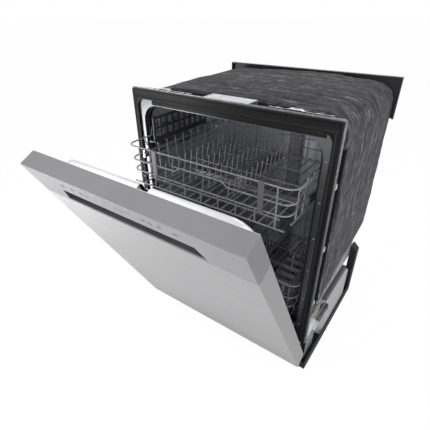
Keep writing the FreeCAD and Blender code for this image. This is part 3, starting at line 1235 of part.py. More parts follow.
def upper_rack_ends():
    front = rack_end(UPPER_FRONT_Y, UPPER_TOP, UPPER_FLOOR, UPPER_HALF_TOP, UPPER_HALF_FLOOR, UPPER_DROPS,
                     0.0, -1, True)
    back = rack_end(UPPER_BACK_Y, UPPER_TOP, UPPER_FLOOR, UPPER_HALF_TOP, UPPER_HALF_FLOOR, UPPER_DROPS,
                    0.0, 1, False)
    return Part.makeCompound([front, back])


def upper_rack_sides():
    return pair(rack_side(UPPER_FRONT_Y, UPPER_BACK_Y, UPPER_TOP, UPPER_FLOOR, UPPER_HALF_TOP, UPPER_HALF_FLOOR,
                          UPPER_DROPS))


def upper_rack_floor():
    return rack_floor(UPPER_FRONT_Y, UPPER_BACK_Y, UPPER_FLOOR, UPPER_HALF_FLOOR)


def upper_rack_tines():
    y0 = UPPER_FRONT_Y + UPPER_TINE_SETBACK
    y1 = UPPER_BACK_Y - UPPER_TINE_SETBACK
    z = tine_level(UPPER_FLOOR)
    return Part.makeCompound([tine_row(x, y0, y1, z, UPPER_TINE_HEIGHT, UPPER_TINE_LEAN) for x in UPPER_TINE_ROWS])


def runner_span():
    """Front and rear ends of the runners."""
    y0 = UPPER_FRONT_Y + RUNNER_LEAD
    return y0, y0 + RUNNER_LENGTH


def rack_runners():
    y0, y1 = runner_span()
    outside = block(RUNNER_INNER_X, RUNNER_OUTER_X, y0, y1, RUNNER_BOTTOM, RUNNER_TOP)
    groove = block(RUNNER_INNER_X - 1, RUNNER_OUTER_X - RUNNER_WALL, y0 + RUNNER_END_WALL, y1 - RUNNER_END_WALL,
                   RUNNER_BOTTOM + RUNNER_WALL, RUNNER_TOP - RUNNER_WALL)
    tongue = block(RUNNER_OUTER_X, TUB_HALF - RAIL_WALL - RAIL_GAP, y1 - RUNNER_TONGUE, y1,
                   RUNNER_BOTTOM + RAIL_WALL + RAIL_GAP, RUNNER_TOP - RAIL_WALL - RAIL_GAP)
    return pair(fused([outside.cut(groove), tongue]))


def fixed_rails():
    y0 = GASKET_Y + GASKET_DEPTH + RAIL_FRONT_GAP
    y1 = TUB_BACK_Y - RAIL_REAR_GAP
    outside = block(RUNNER_OUTER_X + RAIL_GAP, TUB_HALF, y0, y1, RUNNER_BOTTOM, RUNNER_TOP)
    groove = block(RUNNER_OUTER_X - 1, TUB_HALF - RAIL_WALL, y0 - 1, y1 + 1, RUNNER_BOTTOM + RAIL_WALL,
                   RUNNER_TOP - RAIL_WALL)
    return pair(outside.cut(groove))


def upper_rack_fittings():
    """Flat bars on the rack's front and the shoes that run in the runners."""
    front = UPPER_FRONT_Y - WIRE_RADIUS
    half = FRONT_BAR_WIDTH / 2
    parts = [block(x - half, x + half, front - FRONT_BAR_THICKNESS, front,
                   UPPER_TOP - UPPER_LOWER_DROP - FRONT_BAR_OVERLAP, UPPER_TOP + WIRE_RADIUS)
             for x in FRONT_BAR_PLACES]
    y0, y1 = runner_span()
    middle_z = UPPER_TOP - UPPER_MIDDLE_DROP
    share = UPPER_MIDDLE_DROP / (UPPER_TOP - UPPER_FLOOR)
    wall_x = UPPER_HALF_TOP + (UPPER_HALF_FLOOR - UPPER_HALF_TOP) * share + WIRE_RADIUS
    clip_x = RUNNER_INNER_X - CLIP_INSET
    for y in (y0 + RUNNER_END_WALL + UPPER_RACK_TRAVEL + SHOE_END_ROOM, y1 - SHOE_REAR_PLACE):
        shoe = block(clip_x, RUNNER_OUTER_X - RUNNER_WALL - SHOE_GAP, y, y + SHOE_LENGTH,
                     RUNNER_BOTTOM + RUNNER_WALL + SHOE_GAP, RUNNER_TOP - RUNNER_WALL - SHOE_GAP)
        clip = block(wall_x, clip_x, y, y + SHOE_LENGTH, RUNNER_BOTTOM + CLIP_LOW, middle_z + WIRE_RADIUS)
        hanger = fused([shoe, clip])
        parts += [hanger, mirrored(hanger)]
    return Part.makeCompound(parts)


def shelf_axis():
    """Place of the cup shelf's hinge rod: X and Z."""
    return -UPPER_HALF_TOP + SHELF_WALL_GAP, UPPER_TOP - SHELF_HINGE_DROP


def cup_shelf():
    """Window-grid shelf folded up against the rack's left-hand wall."""
    x, z = shelf_axis()
    y0 = (UPPER_FRONT_Y + UPPER_BACK_Y - SHELF_LENGTH) / 2
    y1 = y0 + SHELF_LENGTH
    plate = block(x - SHELF_THICKNESS / 2, x + SHELF_THICKNESS / 2, y0, y1, z, z + SHELF_WIDTH)
    knuckle_radius = SHELF_ROD_RADIUS + SHELF_KNUCKLE_WALL
    pitch = (SHELF_LENGTH - SHELF_BAR) / SHELF_HOLES
    low = z + knuckle_radius + SHELF_BAR
    row_pitch = (z + SHELF_WIDTH - low) / 2
    windows = [block(x - SHELF_THICKNESS, x + SHELF_THICKNESS, y0 + SHELF_BAR + i * pitch, y0 + (i + 1) * pitch,
                     low + row * row_pitch, low + (row + 1) * row_pitch - SHELF_BAR)
               for i in range(SHELF_HOLES) for row in (0, 1)]
    knuckle = rod((x, y0, z), (x, y1, z), knuckle_radius)
    bore = rod((x, y0 - 1, z), (x, y1 + 1, z), SHELF_ROD_RADIUS + SPINDLE_CLEARANCE)
    return fused([plate.cut(Part.makeCompound(windows)), knuckle]).cut(bore)


def shelf_rod():
    """Hinge wire of the cup shelf, bent down to the rack's side wall at both ends."""
    x, z = shelf_axis()
    y0 = (UPPER_FRONT_Y + UPPER_BACK_Y - SHELF_LENGTH) / 2 - SHELF_BAR
    y1 = y0 + SHELF_LENGTH + 2 * SHELF_BAR
    wall_x = -UPPER_HALF_TOP + WIRE_RADIUS
    return bent_wire([(wall_x, y0, z), (x, y0, z), (x, y1, z), (wall_x, y1, z)], SHELF_ROD_RADIUS, SHELF_ROD_BEND)


def middle_manifold():
    """Feed pipe under the upper rack's floor, from the rear duct to the middle spray arm."""
    y, top = manifold_place()
    low = top - MANIFOLD_HEIGHT
    half = MANIFOLD_HALF
    pipe = block(-half, half, y, UPPER_BACK_Y + MANIFOLD_TAIL, low, top)
    hub = rod((0, y, low), (0, y, top), MANIFOLD_HUB_RADIUS)
    nut_low = low - 2 * ARM_GAP - ARM_THICKNESS - NUT_HEIGHT
    spindle = rod((0, y, nut_low), (0, y, low), SPINDLE_RADIUS)
    hook_y = UPPER_BACK_Y - MANIFOLD_HOOK_PLACE
    hook = block(-half, half, hook_y - MANIFOLD_HOOK, hook_y, top, UPPER_FLOOR + WIRE_RADIUS)
    return fused([pipe, hub, spindle, nut(y, nut_low), hook])


def manifold_place():
    """Middle of the manifold's hub along Y, and its top face under the rack's foot wires."""
    return (UPPER_FRONT_Y + UPPER_BACK_Y) / 2, UPPER_FLOOR - 2 * WIRE_RADIUS


def middle_spray_arm():
    y, top = manifold_place()
    return spray_arm(y, top - MANIFOLD_HEIGHT - ARM_GAP, MIDDLE_ARM_REACH)


# ---------------------------------------------------------------- lower rack
def lower_rack_ends():
    front = rack_end(LOWER_FRONT_Y, LOWER_TOP, LOWER_FLOOR, LOWER_HALF_TOP, LOWER_HALF_FLOOR, LOWER_DROPS,
                     LOWER_FRONT_SLOPE, -1, False)
    back = rack_end(LOWER_BACK_Y, LOWER_TOP, LOWER_FLOOR, LOWER_HALF_TOP, LOWER_HALF_FLOOR, LOWER_DROPS,
                    0.0, 1, False)
    return Part.makeCompound([front, back])


def lower_rack_sides():
    return pair(rack_side(LOWER_FRONT_Y, LOWER_BACK_Y, LOWER_TOP, LOWER_FLOOR, LOWER_HALF_TOP, LOWER_HALF_FLOOR,
                          LOWER_DROPS))


def lower_rack_floor():
    return rack_floor(LOWER_FRONT_Y + LOWER_FRONT_SLOPE, LOWER_BACK_Y, LOWER_FLOOR, LOWER_HALF_FLOOR)


def lower_rack_tines():
    y0 = LOWER_FRONT_Y + LOWER_TINE_SETBACK
    y1 = LOWER_BACK_Y - LOWER_TINE_SETBACK
    z = tine_level(LOWER_FLOOR)
    return Part.makeCompound([tine_row(x, y0, y1, z, LOWER_TINE_HEIGHT, LOWER_TINE_LEAN) for x in LOWER_TINE_ROWS])


def wheel_x():
    """Inner face of the lower rack's right-hand wheels."""
    return LOWER_HALF_FLOOR + WIRE_RADIUS + WHEEL_SIDE_GAP


def wheel_places():
    return LOWER_FRONT_Y + WHEEL_INSET_FRONT, LOWER_BACK_Y - WHEEL_INSET_REAR


def wheel_carriers():
    """Axle stubs and their plates on the lower rack's sides."""
    z = LEDGE_TOP + WHEEL_RADIUS
    x1 = wheel_x() - WHEEL_GAP
    x0 = x1 - CARRIER_THICKNESS
    parts = []
    for y in wheel_places():
        plate = block(x0, x1, y - CARRIER_WIDTH / 2, y + CARRIER_WIDTH / 2, z - CARRIER_DROP, LOWER_FLOOR)
        axle = rod((x0, y, z), (wheel_x() + WHEEL_WIDTH + WHEEL_HUB_RISE, y, z), WHEEL_AXLE_RADIUS)
        carrier = fused([plate, axle])
        parts += [carrier, mirrored(carrier)]
    return Part.makeCompound(parts)


def lower_wheels(y):
    """Pair of wheels on one axle line, with a dished outer face."""
    z = LEDGE_TOP + WHEEL_RADIUS
    x = wheel_x()
    face = x + WHEEL_WIDTH
    wheel = rod((x, y, z), (face, y, z), WHEEL_RADIUS - WHEEL_GAP)
    dish = tube((face - WHEEL_DISH_DEPTH, y, z), (face + 1, y, z), WHEEL_DISH_RADIUS,
                WHEEL_AXLE_RADIUS + WHEEL_HUB_WALL)
    bore = rod((x - 1, y, z), (face + 1, y, z), WHEEL_AXLE_RADIUS + SPINDLE_CLEARANCE)
    return pair(wheel.cut(dish).cut(bore))


def front_wheels():
    return lower_wheels(wheel_places()[0])


def rear_wheels():
    return lower_wheels(wheel_places()[1])


def cutlery_basket():
    """Window-grid walls and partitions on a plain floor, with a carrying handle over the middle cells."""
    x1 = LOWER_HALF_FLOOR - BASKET_RIGHT_GAP
    x0 = x1 - BASKET_WIDTH
    y0 = LOWER_FRONT_Y + BASKET_FRONT_GAP
    y1 = y0 + BASKET_LENGTH
    z0 = tine_level(LOWER_FLOOR) - TINE_RADIUS
    z1 = z0 + BASKET_HEIGHT
    cell = (BASKET_LENGTH - BASKET_WALL) / BASKET_CELLS
    floor = block(x0, x1, y0, y1, z0, z0 + BASKET_WALL)
    side = block(x1 - BASKET_WALL, x1, y0, y1, z0 + BASKET_WALL, z1)
    across = block(x0 + BASKET_WALL, x1 - BASKET_WALL, y0, y0 + BASKET_WALL, z0 + BASKET_WALL, z1)
    side_windows = []
    across_windows = []
    pitch_z = (BASKET_HEIGHT - BASKET_FOOT_BAND - BASKET_TOP_BAND) / BASKET_ROWS
    end_pitch = (BASKET_WIDTH - 4 * BASKET_WALL) / 4
    for row in range(BASKET_ROWS):
        z = z0 + BASKET_FOOT_BAND + row * pitch_z
        top = z + pitch_z - BASKET_BAR
        for i in range(4):
            wx = x0 + 2 * BASKET_WALL + i * end_pitch
            across_windows.append(block(wx + BASKET_BAR / 2, wx + end_pitch - BASKET_BAR / 2, y0, y0 + BASKET_WALL,
                                        z, top))
        for i in range(2 * BASKET_CELLS):
            wy = y0 + 2 * BASKET_WALL + i * cell / 2
            side_windows.append(block(x1 - BASKET_WALL, x1, wy, wy + cell / 2 - BASKET_WALL - BASKET_BAR, z, top))
    side = side.cut(Part.makeCompound(side_windows))
    across = across.cut(Part.makeCompound(across_windows))
    panels = [floor, side, side.translated(Vector(BASKET_WALL - BASKET_WIDTH, 0, 0))]
    panels += [across.translated(Vector(0, i * cell, 0)) for i in range(BASKET_CELLS + 1)]
    mid = (x0 + x1) / 2
    half = BASKET_HANDLE_THICKNESS / 2
    hy0 = y0 + cell * 2 + BASKET_WALL
    hy1 = y0 + cell * 4
    bar_low = z1 + BASKET_HANDLE_RISE - BASKET_HANDLE_BAR
    posts = [block(mid - half, mid + half, y, y + BASKET_HANDLE_BAR, z1 - BASKET_HANDLE_DROP, bar_low)
             for y in (hy0, hy1 - BASKET_HANDLE_BAR)]
    grip = block(mid - half, mid + half, hy0, hy1, bar_low, z1 + BASKET_HANDLE_RISE)
    return Part.makeCompound(panels + posts + [grip])


# ---------------------------------------------------------------- water system
def sump_bowl(wall):
    """Tapered bowl under the tub floor, smaller by a wall all round."""
    top = TUB_FLOOR_TOP - TUB_FLOOR_WALL
    return Part.makeCone(SUMP_FOOT_RADIUS - wall, SUMP_RADIUS - wall, SUMP_DEPTH - wall,
                         Vector(0, FILTER_CENTRE_Y, top - SUMP_DEPTH + wall), Z_AXIS)


def sump():
    top = TUB_FLOOR_TOP - TUB_FLOOR_WALL
    y = FILTER_CENTRE_Y
    flange = rod((0, y, top - SUMP_WALL), (0, y, top), SUMP_RADIUS + SUMP_FLANGE)
    return fused([flange, sump_bowl(0)]).cut(sump_bowl(SUMP_WALL))


def lower_arm_top():
    """Top face of the lower spray arm, under the lower rack's floor."""
    return LOWER_FLOOR - 2 * WIRE_RADIUS - ARM_DROP


def quarters(shape, y):
    """Four quadrants of a ring about a vertical axis on the middle plane, parted on its diagonals."""
    reach = SUMP_RADIUS + FILTER_PLATE_OVERLAP + FILTER_OFFSET
    middle = Vector(0, y, 0)
    z0 = shape.BoundBox.ZMin - 1
    wedge = Part.Face(Part.makePolygon([Vector(0, y, z0), Vector(2 * reach, y - 2 * reach, z0),
                                        Vector(2 * reach, y + 2 * reach, z0), Vector(0, y, z0)]))
    wedge = wedge.extrude(Vector(0, 0, shape.BoundBox.ZLength + 2))
    parts = []
    for turn in (0, 90, 180, 270):
        cutter = wedge.copy()
        cutter.rotate(middle, Z_AXIS, turn)
        parts.append(shape.common(cutter))
    return parts


def filter_plate():
    """Fine filter over the sump in four sheets, its seat for the twist-out cup, and the lower arm's post."""
    y = FILTER_CENTRE_Y
    z = TUB_FLOOR_TOP
    top = z + FILTER_PLATE
    plate = rod((0, y, z), (0, y, top), SUMP_RADIUS + FILTER_PLATE_OVERLAP)
    seat = rod((0, y + FILTER_OFFSET, z), (0, y + FILTER_OFFSET, top), FILTER_RADIUS + FILTER_GAP)
    arm_top = lower_arm_top()
    post = rod((0, 0, top), (0, 0, arm_top - ARM_THICKNESS - ARM_GAP), ARM_HUB_RADIUS)
    spindle = rod((0, 0, top), (0, 0, arm_top + ARM_GAP), SPINDLE_RADIUS)
    mast = fused([post, spindle, nut(0, arm_top + ARM_GAP)])
    return Part.makeCompound(quarters(plate.cut(seat), y + FILTER_OFFSET) + [mast])


def filter_cup():
    """Twist-out cup: bottom, four mesh panels, a rim over them and a grip across the mouth."""
    y = FILTER_CENTRE_Y + FILTER_OFFSET
    z = TUB_FLOOR_TOP + FILTER_PLATE
    low = z - FILTER_HEIGHT
    inner = FILTER_RADIUS - FILTER_WALL
    bottom = rod((0, y, low), (0, y, low + FILTER_WALL), FILTER_RADIUS)
    wall = tube((0, y, low + FILTER_WALL), (0, y, z), FILTER_RADIUS, inner)
    rim = tube((0, y, z), (0, y, z + FILTER_RIM_HEIGHT), FILTER_RADIUS + FILTER_RIM, inner)
    mouth = rod((0, y, low), (0, y, z + FILTER_GRIP_RISE), inner)
    grip = mouth.common(block(-inner, inner, y - FILTER_WALL, y + FILTER_WALL, z - FILTER_GRIP_DROP,
                              z + FILTER_GRIP_RISE))
    return Part.makeCompound([bottom, grip] + quarters(wall, y) + quarters(rim, y))


def lower_spray_arm():
    return spray_arm(0, lower_arm_top(), LOWER_ARM_REACH)


def top_arm_top():
    """Top face of the top spray arm, under the duct's hub."""
    return TUB_TOP - DUCT_TOP_GAP - DUCT_DEPTH - DUCT_HUB_DROP - ARM_GAP


def water_duct():
    """Flat duct up the back wall and forward under the ceiling to the top spray arm."""
    y0 = TUB_BACK_Y - DUCT_DEPTH
    half = DUCT_WIDTH / 2
    top = TUB_TOP - DUCT_TOP_GAP
    low = top - DUCT_DEPTH
    riser = block(-half, half, y0, TUB_BACK_Y, TUB_FLOOR_TOP, top)
    ceiling = block(-half, half, TOP_ARM_Y - half, TUB_BACK_Y, low, top)
    hub = rod((0, TOP_ARM_Y, low - DUCT_HUB_DROP), (0, TOP_ARM_Y, top), half)
    nut_low = top_arm_top() - ARM_THICKNESS - ARM_GAP - NUT_HEIGHT
    spindle = rod((0, TOP_ARM_Y, nut_low), (0, TOP_ARM_Y, low), SPINDLE_RADIUS)
    hangers = [block(-half, half, y, y + DUCT_HANGER, top, TUB_TOP) for y in (TOP_ARM_Y, TUB_BACK_Y / 2)]
    return fused([riser, ceiling, hub, spindle, nut(TOP_ARM_Y, nut_low)] + hangers)


def top_spray_arm():
    return spray_arm(TOP_ARM_Y, top_arm_top(), TOP_ARM_REACH)


def float_dome():
    low = TUB_FLOOR_TOP + FLOAT_GAP
    dome = rod((FLOAT_X, FLOAT_Y, low), (FLOAT_X, FLOAT_Y, TUB_FLOOR_TOP + FLOAT_HEIGHT), FLOAT_RADIUS)
    stem = rod((FLOAT_X, FLOAT_Y, TUB_FLOOR_TOP - FLOAT_STEM_LENGTH), (FLOAT_X, FLOAT_Y, low), FLOAT_STEM_RADIUS)
    return fused([dome, stem])


def circulation_pump():
    y = FILTER_CENTRE_Y
    z = TUB_FLOOR_TOP - TUB_FLOOR_WALL - SUMP_DEPTH + PUMP_RADIUS
    x0 = -SUMP_RADIUS
    motor = rod((x0 - PUMP_LENGTH, y, z), (x0, y, z), PUMP_RADIUS)
    neck = rod((x0, y, z), (x0 + PUMP_NECK_LENGTH, y, z), PUMP_NECK_RADIUS)
    foot = block(x0 - PUMP_LENGTH + PUMP_FOOT_MARGIN, x0 - PUMP_FOOT_MARGIN, y - PUMP_FOOT_WIDTH / 2,
                 y + PUMP_FOOT_WIDTH / 2, BASE_FLOOR, z - PUMP_RADIUS / 2)
    return fused([motor, neck, foot]).cut(sump_bowl(0))


def drain_pump():
    """Drain motor behind the sump, its outlet pipe through the base's rear rim."""
    z = DRAIN_HEIGHT + DRAIN_MOTOR_RISE
    y0 = FILTER_CENTRE_Y + SUMP_RADIUS - DRAIN_MOTOR_GAP
    middle = y0 + DRAIN_PUMP_LENGTH / 2
    motor = rod((0, y0, z), (0, y0 + DRAIN_PUMP_LENGTH, z), DRAIN_PUMP_RADIUS)
    outlet = rod((0, middle, DRAIN_HEIGHT), (0, REAR_Y, DRAIN_HEIGHT), DRAIN_PIPE_RADIUS)
    spigot = rod((0, REAR_Y, DRAIN_HEIGHT), (0, REAR_Y + DRAIN_SPIGOT_LENGTH, DRAIN_HEIGHT), DRAIN_SPIGOT_RADIUS)
    neck = rod((0, y0 - DRAIN_NECK_LENGTH, z), (0, y0 + 1, z), DRAIN_NECK_RADIUS)
    foot = block(-DRAIN_FOOT_WIDTH / 2, DRAIN_FOOT_WIDTH / 2, middle - DRAIN_FOOT_WIDTH / 2,
                 middle + DRAIN_FOOT_WIDTH / 2, BASE_FLOOR, z - DRAIN_PUMP_RADIUS / 2)
    return fused([motor, outlet, spigot, neck, foot]).cut(sump_bowl(0))


def inlet_valve():
    """Solenoid valve with its thread through the base's rear rim."""
    z = INLET_HEIGHT
    y1 = REAR_Y - BASE_RIM_WALL - INLET_BODY_SETBACK
    y0 = y1 - INLET_BODY_DEPTH
    half = INLET_BODY_WIDTH / 2
    body = block(INLET_X - half, INLET_X + half, y0, y1, BASE_FLOOR, z + half)
    coil = rod((INLET_X, (y0 + y1) / 2, z + half), (INLET_X, (y0 + y1) / 2, z + half + INLET_COIL_HEIGHT),
               INLET_COIL_RADIUS)
    end = REAR_Y + INLET_THREAD_LENGTH
    neck = rod((INLET_X, y1 - 1, z), (INLET_X, REAR_Y, z), INLET_NECK_RADIUS)
    thread = rod((INLET_X, REAR_Y, z), (INLET_X, end, z), INLET_THREAD_RADIUS)
    bore = rod((INLET_X, REAR_Y - INLET_BORE_DEPTH, z), (INLET_X, end + 1, z), INLET_THREAD_RADIUS - INLET_WALL)
    return fused([body, coil, neck, thread]).cut(bore)


# ---------------------------------------------------------------- electrics
def control_box_place():
    """Footprint of the control box, in front of the rear right-hand foot: X and Y ranges."""
    x1 = BASE_HALF_WIDTH - BASE_RIM_WALL - CONTROL_BOX_SIDE_GAP
    y1 = REAR_Y - PILLAR_SIZE - FOOT_INSET_Y - FOOT_BOSS_RADIUS - CONTROL_BOX_REAR_GAP
    return x1 - CONTROL_BOX_WIDTH, x1, y1 - CONTROL_BOX_LENGTH, y1


def control_box():
    x0, x1, y0, y1 = control_box_place()
    top = BASE_FLOOR + CONTROL_BOX_HEIGHT
    body = block(x0, x1, y0, y1, BASE_FLOOR, top)
    edges = [e for e in body.Edges if abs(e.CenterOfMass.x - x1) < 1e-6 and e.CenterOfMass.z > top - 1]
    lid = block(x0 - LID_OVERHANG, x1 - CONTROL_BOX_EDGE_RADIUS - LID_OVERHANG, y0 + LID_SETBACK,
                y1 - LID_SETBACK, top, top + CONTROL_BOX_LID)
    return Part.makeCompound([body.makeFillet(CONTROL_BOX_EDGE_RADIUS, edges), lid])


def junction_box():
    """Box for the supply cable's joints, its knocked-out entry facing the rear."""
    x0 = -BASE_HALF_WIDTH + BASE_RIM_WALL + JUNCTION_SIDE_GAP
    x1 = x0 + JUNCTION_SIZE
    y0 = BASE_FRONT_Y + FOOT_INSET_Y + FOOT_BOSS_RADIUS + JUNCTION_FOOT_GAP
    y1 = y0 + JUNCTION_SIZE
    wall = JUNCTION_WALL
    box = block(x0, x1, y0, y1, BASE_FLOOR, BASE_FLOOR + JUNCTION_HEIGHT)
    hollow = block(x0 + wall, x1 - wall, y0 + wall, y1 - wall, BASE_FLOOR + wall,
                   BASE_FLOOR + JUNCTION_HEIGHT - wall)
    middle = (x0 + x1) / 2
    knockout = rod((middle, y1 - 2 * wall, CONDUIT_HEIGHT), (middle, y1 + 1, CONDUIT_HEIGHT), CONDUIT_RADIUS)
    return box.cut(hollow).cut(knockout)


def plug_place():
    """Plug on the inner face of the right-hand hinge bracket: X range, rear face, middle height."""
    x0 = TUB_HALF + TUB_WALL + PLUG_TUB_GAP
    return x0, BRACKET_INNER_X, BRACKET_Y + BRACKET_FOOT_LENGTH - PLUG_SETBACK, HARNESS_START + PLUG_RISE


def wiring_harness():
    """Three wires from the control box up to the plug at the hinge."""
    box_front = control_box_place()[2]
    x0, x1, plug_y, plug_z = plug_place()
    run = box_front - plug_y
    plug = block(x0, x1, plug_y - PLUG_LENGTH, plug_y, plug_z - PLUG_HEIGHT / 2, plug_z + PLUG_HEIGHT / 2)
    wires = [plug]
    margin = HARNESS_WIRE_RADIUS + HARNESS_WIRE_MARGIN
    route = ((0.0, 0.0),) + HARNESS_LOOP + ((HARNESS_LEAD, PLUG_RISE), (1.0, PLUG_RISE))
    for x in spaced(x0 + margin, x1 - margin, HARNESS_WIRES):
        points = [(x, box_front - share * run, HARNESS_START + rise) for share, rise in route]
        bend = harness_bend(points)
        print(f"harness bend radius {bend:.1f}")
        wires.append(bent_wire(points, HARNESS_WIRE_RADIUS, bend))
    return Part.makeCompound(wires)


def harness_bend(points):
    """Largest radius that every corner of the route has room for."""
    points = [Vector(*p) for p in points]
    radii = []
    for before, corner, after in zip(points, points[1:], points[2:]):
        run_in = corner - before
        run_out = after - corner
        turn = run_in.getAngle(run_out)
        radii.append(0.45 * min(run_in.Length, run_out.Length) / math.tan(turn / 2))
    return min(radii)


NODES = {
    "base_frame": base_frame,
    "levelling_feet": levelling_feet,
    "tub_wrapper": tub_wrapper,
    "tub_back_wall": tub_back_wall,
    "tub_floor": tub_floor,
    "front_flange": front_flange,
    "front_trim": front_trim,
    "door_gasket": door_gasket,
    "strike_bracket": strike_bracket,
    "rear_bracket": rear_bracket,
    "flange_clips": flange_clips,
    "worktop_brackets": worktop_brackets,
    "insulation_blanket": insulation_blanket,
    "blanket_binding": blanket_binding,
    "hinge_brackets": hinge_brackets,
    "hinge_arms": hinge_arms,
    "spring_sliders": spring_sliders,
    "door_springs": door_springs,
    "outer_panel": outer_panel,
    "console": console,
    "handle_pocket": handle_pocket,
    "display_and_keys": display_and_keys,
    "inner_liner": inner_liner,
    "latch_housing": latch_housing,
    "latch_claw": latch_claw,
    "dispenser_body": dispenser_body,
    "dispenser_lid": dispenser_lid,
    "rinse_aid_cap": rinse_aid_cap,
    "upper_rack_ends": upper_rack_ends,
    "upper_rack_sides": upper_rack_sides,
    "upper_rack_floor": upper_rack_floor,
    "upper_rack_tines": upper_rack_tines,
    "upper_rack_fittings": upper_rack_fittings,
    "rack_runners": rack_runners,
    "fixed_rails": fixed_rails,
    "cup_shelf": cup_shelf,
    "shelf_rod": shelf_rod,
    "middle_manifold": middle_manifold,
    "middle_spray_arm": middle_spray_arm,
    "lower_rack_ends": lower_rack_ends,
    "lower_rack_sides": lower_rack_sides,
    "lower_rack_floor": lower_rack_floor,
    "lower_rack_tines": lower_rack_tines,
    "wheel_carriers": wheel_carriers,
    "front_wheels": front_wheels,
    "rear_wheels": rear_wheels,
    "cutlery_basket": cutlery_basket,
    "sump": sump,
    "filter_plate": filter_plate,
    "filter_cup": filter_cup,
    "lower_spray_arm": lower_spray_arm,
    "water_duct": water_duct,
    "top_spray_arm": top_spray_arm,
    "float_dome": float_dome,
    "circulation_pump": circulation_pump,
    "drain_pump": drain_pump,
    "inlet_valve": inlet_valve,
    "control_box": control_box,
    "junction_box": junction_box,
    "wiring_harness": wiring_harness,
}

os.makedirs("parts", exist_ok=True)
for node, make in NODES.items():
    shape = make()
    if not shape.isValid():
        print("not valid:", node)
    print(f"{node:24s} solids {len(shape.Solids):3d}  volume {shape.Volume / 1000:10.1f} cm3")
    shape.exportStep(f"parts/{node}.step")
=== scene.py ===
"""Built-in dishwasher with its door ajar: the looks of every piece, in order of assembly.

Metres, +Z up, front towards -Y; the origin is the middle of the base's underside.
"""
import bpy
import bmesh
import math
from mathutils import Matrix, Vector, noise


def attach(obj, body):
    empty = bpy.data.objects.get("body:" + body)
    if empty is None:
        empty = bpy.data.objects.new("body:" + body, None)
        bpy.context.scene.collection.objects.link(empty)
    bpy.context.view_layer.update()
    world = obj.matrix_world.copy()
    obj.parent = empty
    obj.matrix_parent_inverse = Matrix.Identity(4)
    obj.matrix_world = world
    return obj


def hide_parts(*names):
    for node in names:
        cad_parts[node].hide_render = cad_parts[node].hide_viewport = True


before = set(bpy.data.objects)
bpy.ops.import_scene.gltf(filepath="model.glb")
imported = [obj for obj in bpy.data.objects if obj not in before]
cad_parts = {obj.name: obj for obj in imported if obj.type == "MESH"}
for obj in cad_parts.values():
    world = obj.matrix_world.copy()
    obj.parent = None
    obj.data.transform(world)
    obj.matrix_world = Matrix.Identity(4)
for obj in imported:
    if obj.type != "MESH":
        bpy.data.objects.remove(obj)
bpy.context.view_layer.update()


# ---------------------------------------------------------------- base pan
# One black polypropylene moulding with side cheeks and rear pillars. The mould leaves a fine
# matt grain, and the recycled black is a little uneven. Everything else is screwed to it.
def linear(code):
    """Linear values of an sRGB hex colour."""
    parts = [int(code[place:place + 2], 16) / 255 for place in (1, 3, 5)]
    return [part / 12.92 if part <= 0.04045 else ((part + 0.055) / 1.055) ** 2.4
            for part in parts] + [1.0]


def add(tree, kind, inputs=None, stops=None, **settings):
    """Adds a shader node with its settings; an input is a value or another node's output."""
    made = tree.nodes.new("ShaderNode" + kind)
    for name, value in settings.items():
        setattr(made, name, value)
    for place, value in (inputs or {}).items():
        if isinstance(value, bpy.types.NodeSocket):
            tree.links.new(value, made.inputs[place])
        else:
            made.inputs[place].default_value = value
    if stops:
        for _ in stops[2:]:
            made.color_ramp.elements.new(1.0)
        for element, (position, code) in zip(made.color_ramp.elements, stops):
            element.position = position
            element.color = linear(code)
    return made


def reckon(tree, operation, *values):
    """What an operation makes of values, each a number or a node's output."""
    return add(tree, "Math", dict(enumerate(values)), operation=operation).outputs["Value"]


def rise(tree, value, low, high, start=0.0, end=1.0):
    """Goes from start, where a value is low, to end, where it is high."""
    return add(tree, "MapRange", {"Value": value, "From Min": low, "From Max": high,
                                  "To Min": start, "To Max": end}).outputs["Result"]


def mottle(tree, where, size, detail, **more):
    """An uneven pattern; its lumps have a size in metres."""
    return add(tree, "TexNoise", {"Vector": where, "Scale": 1 / size, "Detail": detail,
                                  **more}).outputs["Fac"]


def stretched(tree, where, scale):
    """Coordinates for a pattern that is drawn out along an axis."""
    return add(tree, "Mapping", {"Vector": where, "Scale": scale}).outputs["Vector"]


def shades(tree, pattern, *stops):
    """Colours by a pattern; each stop is a value of it and a colour."""
    return add(tree, "ValToRGB", {"Fac": pattern}, stops=stops).outputs["Color"]


def either(tree, share, first, second):
    """The first colour where share is 0, the second where it is 1."""
    return add(tree, "Mix", {0: share, 6: first, 7: second}, data_type="RGBA").outputs[2]


def surface(tree, shader, colour, height=None, strength=0.0, depth=0.0):
    """Gives a shader its colour and the relief of a height pattern, its depth in metres."""
    tree.links.new(colour, shader.inputs["Base Color"])
    if height is not None:
        bump = add(tree, "Bump", {"Height": height, "Strength": strength, "Distance": depth})
        tree.links.new(bump.outputs["Normal"], shader.inputs["Normal"])


def material(name, base, roughness, **sockets):
    """Material with one Principled shader; returns it, its tree, its shader and Object coordinates."""
    made = bpy.data.materials.new(name)
    made.use_nodes = True
    tree = made.node_tree
    shader = tree.nodes["Principled BSDF"]
    shader.inputs["Base Color"].default_value = linear(base)
    shader.inputs["Roughness"].default_value = roughness
    for socket, value in sockets.items():
        shader.inputs[socket.replace("_", " ")].default_value = value
    where = add(tree, "TexCoord").outputs["Object"]
    return made, tree, shader, where


def moulded(name, dark, light, roughness, grain=0.0012, cloud=0.09, depth=0.00006, **sockets):
    """Moulded plastic: its skin's grain and its clouds of lighter colour are sizes in metres."""
    made, tree, shader, where = material(name, light, roughness, **sockets)
    clouds = mottle(tree, where, cloud, 4.0, Roughness=0.6)
    skin = mottle(tree, where, grain, 2.0)
    surface(tree, shader, shades(tree, clouds, (0.3, dark), (0.7, light)), skin, 0.35, depth)
    return made


